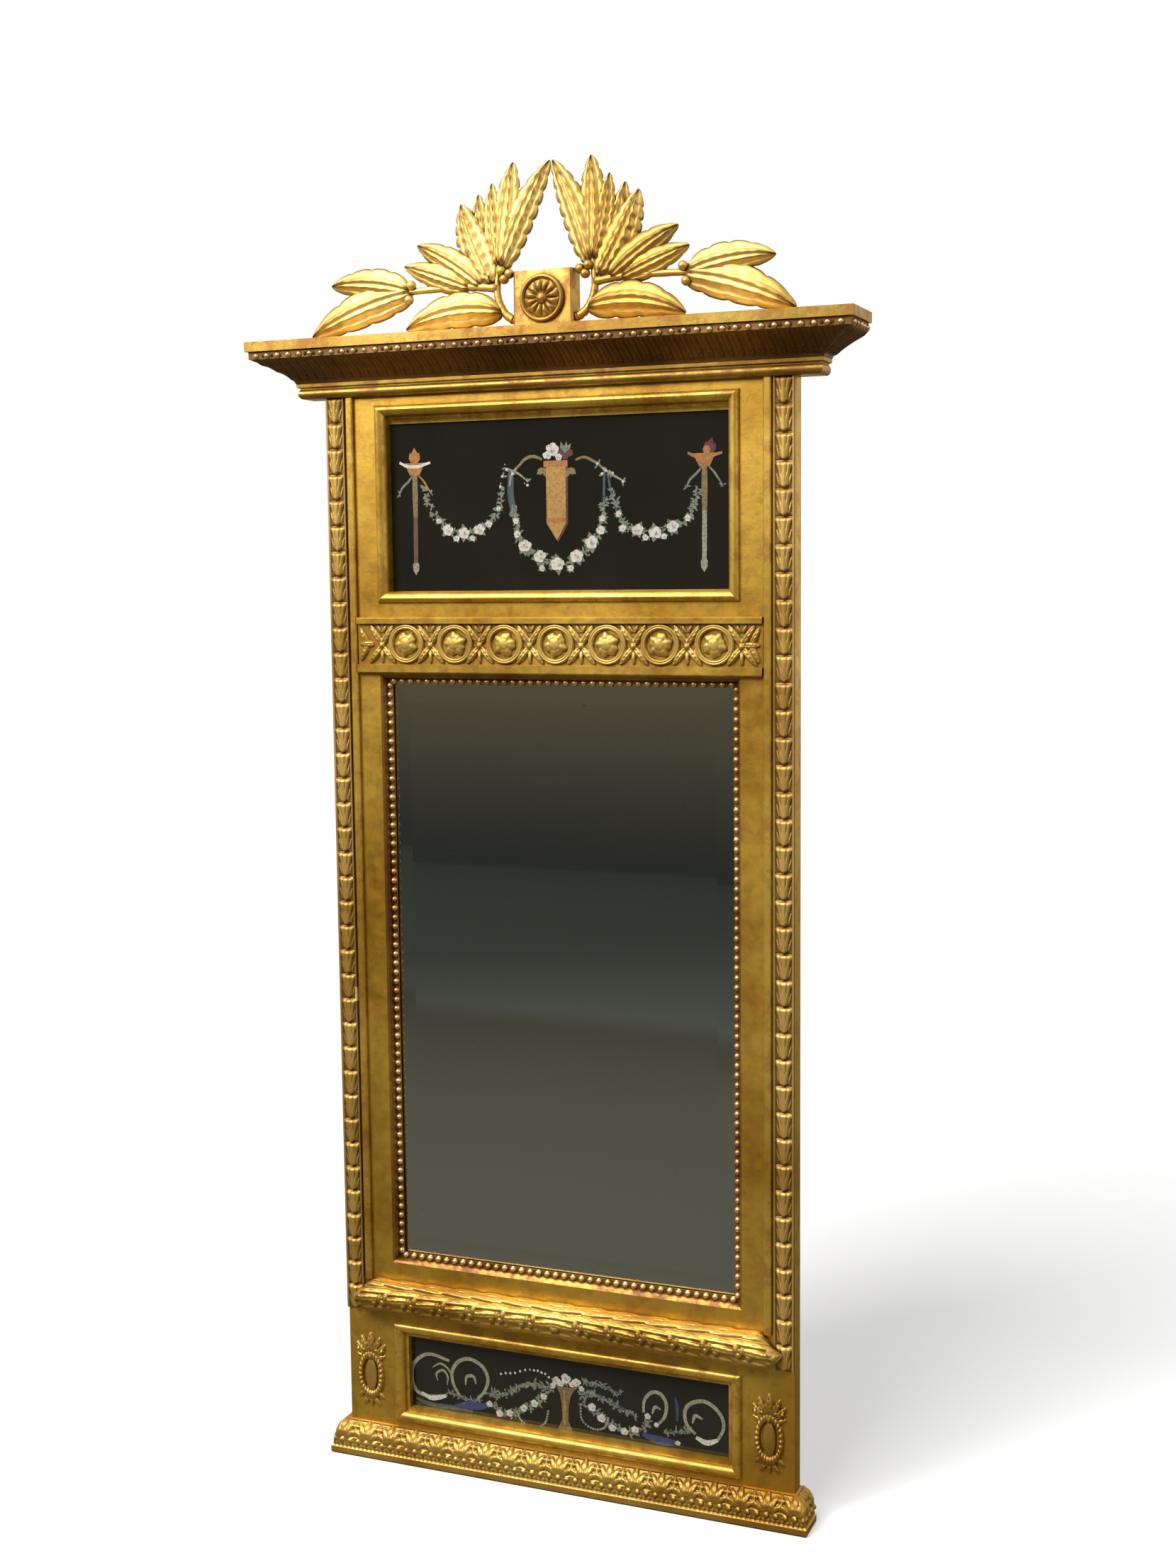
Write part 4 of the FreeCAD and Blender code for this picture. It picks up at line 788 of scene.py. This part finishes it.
def plinth_height(u, v):
    """Spreading leaves 36 mm apart on the slope, over a row of beads and small tongues."""
    x = (u + PLINTH_PITCH / 2) % PLINTH_PITCH - PLINTH_PITCH / 2
    h = np.zeros_like(u)
    for side in (-1, 1):
        h = with_leaves(h, x, v, (((0, 47), (0, 73.5), 11, 2.9), ((side * 2, 47), (side * 13, 68), 9, 2.7),
                                  ((side * 5, 46.5), (side * 18, 56), 7.5, 2.5),
                                  ((side * 18, 50), (side * 18, 72), 6, 2.0)), 0.05)
        h = np.maximum(h, knob_height(x, v, side * 15.5, 62, 2.6, 2.6))
    small = (u + 6.25) % 12.5 - 6.25
    h = np.maximum(h, knob_height(small, v, 0, 42.2, 3.7, 3.0))
    h = np.maximum(h, leaf_height((u % 6.25) - 3.125, v, (0, 38.4), (0, 31.8), 5.4, 1.5))
    h = np.maximum(h, np.where((v > 45.8) & (v < 46.8), 1.0, -9))
    return np.where((v > 31.5) & (v < 74), np.clip(h, 0, 3.2) - 0.35, 0)


for word in ("front", "left", "right"):
    run_face("plinth_face_" + word, ["plinth_" + word], word, PLINTH_SEAT, PLINTH_PATH, 70,
             plinth_height, carved_gold)

# ---- Cornice ------------
# Built up from a run moulding, a hollow with upright flutes coloured dark brown, a
# strip of pressed beads and a plain top board.

cornice_gold = gilding("cornice_gold", (0.50, 0.32, 0.056), (0.33, 0.18, 0.016),
                       worn=0.5, dirt_and_shade=0.5, rough=0.38)
finish_nodes(cornice_gold, named("cornice_moulding_", "cornice_top_board"))
hollow_brown = gilding("hollow_brown", (0.26, 0.118, 0.014), (0.10, 0.036, 0.004),
                       worn=0.2, dirt_and_shade=0.8, rough=0.5, metal=0.55)
finish_nodes(hollow_brown, named("cornice_bead_strip_"))

CORNICE_SEAT = 345.0
HOLLOW_LOW, HOLLOW_RISE = 1466.0, 30.0
HOLLOW_PATH = [(13.5 + 43.5 * (k / 8) ** 1.5, HOLLOW_LOW + HOLLOW_RISE * k / 8) for k in range(9)]
HOLLOW_PATH = [(0.0, HOLLOW_LOW)] + HOLLOW_PATH + [(0.0, HOLLOW_LOW + HOLLOW_RISE)]
FLUTE_PITCH, FLUTE_LOW, FLUTE_HIGH = 13, 18, 67


def flute_height(u, v):
    """Round-headed flutes with a narrow rib between them, v being the way along the profile."""
    half = FLUTE_PITCH / 2
    x = np.abs((u + half) % FLUTE_PITCH - half)
    rib = 2.2 * unit(1 - (x / 2.6) ** 2) ** 0.5
    tongue = 1.2 * unit(1 - ((x - half) / 3.2) ** 2)
    h = np.maximum(rib, tongue) * unit((v - FLUTE_LOW) / 4) * unit((FLUTE_HIGH - v) / 5)
    return np.where((v > FLUTE_LOW) & (v < FLUTE_HIGH), h, 0)


for word in ("front", "left", "right"):
    run_face("cavetto_face_" + word, ["cornice_cavetto_" + word], word, CORNICE_SEAT, HOLLOW_PATH, 44,
             flute_height, hollow_brown, 0.9)

STRIP_REACH, BEAD_OUT, BEAD_LEVEL, BEAD_PITCH = 54.1, 57.6, 1500.0, 16.0
front_run = even(-CORNICE_SEAT - STRIP_REACH, CORNICE_SEAT + STRIP_REACH, BEAD_PITCH)
return_run = even(0, BOARD_FACE + STRIP_REACH, BEAD_PITCH)
cornice_places = [(x, BOARD_FACE + BEAD_OUT, BEAD_LEVEL) for x in front_run]
cornice_outs = [(0, 1)] * len(front_run)
for side in (-1, 1):
    cornice_places += [(side * (CORNICE_SEAT + BEAD_OUT), depth, BEAD_LEVEL) for depth in return_run]
    cornice_outs += [(side, 0)] * len(return_run)
string_of_beads("cornice_beads", cornice_places, cornice_outs, radius=4.0)

# ---- Crest ------------
# A block with a carved rosette, between two sprays of laurel sawn and carved from
# pine, dowelled to the block and gilt all over.

crest_gold = gilding("crest_gold", (0.86, 0.595, 0.175), (0.52, 0.30, 0.048), worn=0.55, dirt_and_shade=1.0, rough=0.44)
finish_nodes(crest_gold, ["crest_block"])
CREST = 1518.5
ROSETTE_FACE, ROSETTE_MIDDLE = 45.0, 1555.0


def rosette_place(u, v):
    """u is the radius and v the turn."""
    petals = 3.4 * np.abs(np.sin(v * 6)) ** 0.6 * unit(np.sin(np.pi * unit((u - 6) / 18)))
    h = 2.2 + petals
    h = np.where(u > 24, 2.6 + 3.2 * np.sqrt(unit(1 - ((u - 26.6) / 2.9) ** 2)), h)
    h = np.where(u < 7, 3.0 + 4.6 * np.sqrt(unit(1 - (u / 7.2) ** 2)), h)
    h = np.where(u >= 29.4, 0.0, h)
    return spot(u * np.cos(v), ROSETTE_FACE + h, ROSETTE_MIDDLE + u * np.sin(v))


rosette_gold = gilding("rosette_gold", (0.56, 0.35, 0.075), (0.32, 0.165, 0.022),
                       worn=0.5, dirt_and_shade=1.0, rough=0.45)
carved("rosette_face", ["crest_rosette"], np.r_[0.01, np.linspace(0.8, 29.3, 44), 29.5],
       np.linspace(0, 2 * math.pi, 145), rosette_place, rosette_gold)

SPRAY_LEAVES = (
    ((60, 33, 78), (1.6, 12, 210), 40, 7.0, -5), ((62, 33, 82), (53, 10, 212), 42, 7.0, -2),
    ((64, 33, 80), (80, 16, 187), 30, 6.0, -3), ((74, 35, 60), (121, 22, 163), 47, 7.5, -4),
    ((78, 34, 66), (100, 14, 175), 34, 6.0, -3), ((88, 36, 58), (177, 36, 114), 37, 7.0, 4),
    ((104, 37, 56), (193, 42, 88), 33, 6.0, 1), ((188, 37, 57), (301, 40, 70), 41, 7.0, 6),
    ((186, 37, 55), (328, 46, 5.5), 48, 7.0, 7), ((60, 37, 24), (190, 47, 7.6), 46, 7.5, 12),
)
SPRAY_STEMS = (
    ((44, 34, 13), (56, 34, 21), (64, 34, 35), (67, 34, 50), (65, 33, 72), (61, 32, 96)),
    ((66, 34, 54), (100, 36, 58), (150, 37, 58), (206, 37, 56)),
    ((41, 34, 13), (47, 34, 13)),
)
SPRAY_BERRIES = ((59, 38, 74), (48, 38, 70), (55, 38, 64), (188, 41, 46), (184, 41, 64))
UPRIGHT_TIP = 150
ROUND = np.linspace(0, 2 * math.pi, 14, endpoint=False)


def rings_to_mesh(rings):
    """Closed skin over rings of points, with both ends filled."""
    count, around = len(rings), len(rings[0])
    corners = np.concatenate(rings)
    faces = []
    for k in range(count - 1):
        for j in range(around):
            a, b = k * around + j, k * around + (j + 1) % around
            faces.append((a, b, b + around, a + around))
    faces.append(tuple(range(around))[::-1])
    faces.append(tuple((count - 1) * around + j for j in range(around)))
    return corners, faces


def laurel_leaf(foot, tip, width, rise, bend):
    """A carved leaf with a sunk midrib and slanting veins, cupped behind.

    The upright leaves have the more ragged edge and the deeper veins.
    """
    foot, tip = np.array(foot, float), np.array(tip, float)
    run = tip - foot
    length = np.linalg.norm(run)
    along = run / length
    side = np.cross(along, [0, 1, 0])
    side /= np.linalg.norm(side)
    out = np.cross(side, along)
    if out[1] < 0:
        side, out = -side, -out
    left = 1 if np.cross([along[0], along[2]], [side[0], side[2]]) > 0 else -1
    across = np.linspace(-1, 1, 19)
    off, dome = np.abs(across), 1 - across ** 2
    cut, cuts, vein_rise = (0.20, 24, 0.55) if tip[2] > UPRIGHT_TIP else (0.11, 13, 0.18)
    rings = []
    for s in np.linspace(0.0, 0.995, 60):
        half = width / 2 * 2.08 * (1 - s) ** 0.66 * (s + 0.012) ** 0.42
        half *= 1 - cut * (1 - abs(math.sin(s * cuts + bend))) ** 2
        centre = foot + along * length * s + side * left * bend * 4 * s * (1 - s)
        crown = rise * dome * min(1, half / (width * 0.3))
        full = min(1, half / (width * 0.35))
        rib = rise * (0.14 * np.exp(-((off - 0.20) / 0.11) ** 2) - 0.36 * np.exp(-(across / 0.09) ** 2))
        groove = -2.2 * np.exp(-((off - 0.52) / 0.08) ** 2) * full
        vein = vein_rise * np.cos(2 * math.pi * (s * 7.6 - off * 1.4)) * dome * full
        top = crown + rib + vein + groove
        back = -0.42 * rise * dome * min(1, half / (width * 0.3)) - 0.5
        front_points = centre + np.outer(across * half, side) + np.outer(top, out)
        back_points = centre + np.outer(across[::-1] * half, side) + np.outer(back[::-1], out)
        rings.append(np.concatenate([front_points, back_points]))
    return rings_to_mesh(rings)


def stem_skin(points, radius):
    """A round stem through its points, tapering to its end."""
    points = np.array(points, float)
    share = np.linspace(0, len(points) - 1, (len(points) - 1) * 6 + 1)
    path = np.stack([np.interp(share, range(len(points)), points[:, k]) for k in range(3)], 1)
    for _ in range(4):
        path[1:-1] = (path[:-2] + 2 * path[1:-1] + path[2:]) / 4
    run = np.gradient(path, axis=0)
    run /= np.linalg.norm(run, axis=1, keepdims=True)
    side = np.cross(run, [0, 1, 0])
    side /= np.linalg.norm(side, axis=1, keepdims=True)
    out = np.cross(side, run)
    rings = []
    for k in range(len(path)):
        size = radius * (1 - 0.3 * k / len(path)) * (1 + 0.05 * math.sin(k * 2.1))
        rings.append(path[k] + size * (np.outer(np.cos(ROUND), side[k]) + np.outer(np.sin(ROUND), out[k])))
    return rings_to_mesh(rings)


def berry_skin(x, depth, height, radius):
    """A round berry, closed by small flats in front and behind."""
    rings = []
    for lift in np.linspace(-1.45, 1.5, 9):
        ring = np.full((len(ROUND), 3), depth + radius * math.sin(lift))
        ring[:, 0] = x + radius * math.cos(lift) * np.cos(ROUND)
        ring[:, 2] = height + radius * math.cos(lift) * np.sin(ROUND)
        rings.append(ring)
    return rings_to_mesh(rings)


spray_skins = [laurel_leaf(*leaf) for leaf in SPRAY_LEAVES]
spray_skins += [stem_skin(points, radius=5.6) for points in SPRAY_STEMS]
spray_skins += [berry_skin(*berry, radius=6.4) for berry in SPRAY_BERRIES]
for side, word in ((-1, "left"), (1, "right")):
    corners, faces = [], []
    for skin_corners, skin_faces in spray_skins:
        start = sum(map(len, corners))
        corners.append(spot(side * skin_corners[:, 0], skin_corners[:, 1], CREST + skin_corners[:, 2]))
        for face in skin_faces:
            face = tuple(start + k for k in face)
            faces.append(face if side > 0 else face[::-1])
    spray = add_piece("laurel_spray_skin_" + word, np.concatenate(corners), faces, crest_gold)
    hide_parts("laurel_spray_" + word)

# ---- Studio ------------
# A floor that the camera sees as pale and the mirror as grey, a screen far behind the
# camera, pale air all round, three soft lamps and one far, broad lamp on the left.


def stage_sheet(name, corners):
    mesh = bpy.data.meshes.new(name)
    mesh.from_pydata(corners, [], [(0, 1, 2, 3)])
    sheet = bpy.data.objects.new(name, mesh)
    bpy.context.collection.objects.link(sheet)
    return sheet


floor = stage_sheet("floor", [(-9, -7, 0), (9, -7, 0), (9, 7, 0), (-9, 7, 0)])
paint = Finish("floor_paint")
far = paint.node("SeparateXYZ", i0=paint.place).outputs[1]
tone = paint.blend(paint.band(far, -0.55, -0.2), (0.060, 0.054, 0.038), (0.200, 0.182, 0.130))
tone = paint.blend(paint.band(far, -2.62, -2.36), (0.108, 0.116, 0.105), tone)
paint.give(Base_Color=tone, Roughness=0.9)
eye = paint.node("LightPath").outputs["Is Camera Ray"]
pale = paint.node("BsdfDiffuse", Color=(0.90, 0.90, 0.90, 1)).outputs[0]
glow = paint.node("Emission", Color=(1, 1, 1, 1), Strength=0.38).outputs[0]
shown = paint.node("AddShader", i0=pale, i1=glow).outputs[0]
swap = paint.node("MixShader", i0=eye, i1=paint.surface.outputs[0], i2=shown)
paint.tree.links.new(swap.outputs[0], paint.tree.nodes["Material Output"].inputs["Surface"])
floor.data.materials.append(paint.material)

screen = stage_sheet("far_screen", [(-9, -5, 0), (9, -5, 0), (9, -5, 4.5), (-9, -5, 4.5)])
cloth = Finish("screen_cloth")
screen_up = cloth.band(cloth.node("SeparateXYZ", i0=cloth.place).outputs[2], 0.0, 0.8)
cloth.give(Base_Color=cloth.blend(screen_up, (0.13, 0.135, 0.12), (0.44, 0.38, 0.27)), Roughness=0.95)
screen.data.materials.append(cloth.material)

world = bpy.data.worlds.new("studio_air")
world.use_nodes = True
air = world.node_tree
ground = air.nodes["Background"]
ground.inputs["Color"].default_value = (1, 1, 1, 1)
path_kind = air.nodes.new("ShaderNodeLightPath").outputs
seen = path_kind["Is Camera Ray"]
for kind in ("Is Glossy Ray", "Is Transmission Ray"):
    either = air.nodes.new("ShaderNodeMath")
    either.operation = "MAXIMUM"
    air.links.new(seen, either.inputs[0])
    air.links.new(path_kind[kind], either.inputs[1])
    seen = either.outputs[0]
level = air.nodes.new("ShaderNodeMapRange")
air.links.new(seen, level.inputs[0])
level.inputs[3].default_value = 0.30
level.inputs[4].default_value = 1.0
air.links.new(level.outputs[0], ground.inputs["Strength"])
bpy.context.scene.world = world


def soft_lamp(name, where, towards, size, power, tint):
    lamp = bpy.data.lights.new(name, "AREA")
    lamp.size = size
    lamp.energy = power
    lamp.color = tint
    holder = bpy.data.objects.new(name, lamp)
    holder.location = where
    holder.rotation_euler = (Vector(towards) - Vector(where)).to_track_quat("-Z", "Y").to_euler()
    bpy.context.collection.objects.link(holder)


soft_lamp("lamp_high_left", (-1.2, -1.9, 2.6), (0, 0, 1.35), 1.2, 60, (1.0, 0.98, 0.94))
soft_lamp("lamp_right", (2.2, -1.8, 2.3), (0, 0, 1.2), 1.2, 9, (1.0, 0.98, 0.95))
soft_lamp("lamp_low_front", (0.5, -2.2, 0.35), (0, 0, 1.3), 1.2, 4, (1.0, 0.98, 0.95))
key = bpy.data.lights.new("lamp_far_left", "SUN")
key.energy = 1.6
key.angle = 0.50
key_holder = bpy.data.objects.new("lamp_far_left", key)
key_holder.rotation_euler = Vector((0.40, 1.2, -1.45)).to_track_quat("-Z", "Y").to_euler()
bpy.context.collection.objects.link(key_holder)

# ---- Camera ------------
# Stands a little right of the mirror at a raised hand's height, as the photographer
# did, and looks slightly down.

eye_right = Vector((0.9259445, 0.3775129, -0.0105232))
eye_up = Vector((-0.0305979, 0.1027632, 0.9942351))
eye_back = Vector((0.3764179, -0.9202846, 0.1067041))
FOCAL_PIXELS, PICTURE_PIXELS, SENSOR = 2740.672, 2212.0, 36.0
camera_data = bpy.data.cameras.new("camera")
camera_data.sensor_width = SENSOR
camera_data.lens = FOCAL_PIXELS * SENSOR / PICTURE_PIXELS
camera = bpy.data.objects.new("camera", camera_data)
turned = Matrix((eye_right, eye_up, eye_back)).transposed().to_4x4()
turned.translation = (0.98036, -2.26542, 1.21131)
camera.matrix_world = turned
bpy.context.collection.objects.link(camera)
bpy.context.scene.camera = camera
bpy.context.scene.view_settings.view_transform = "Standard"
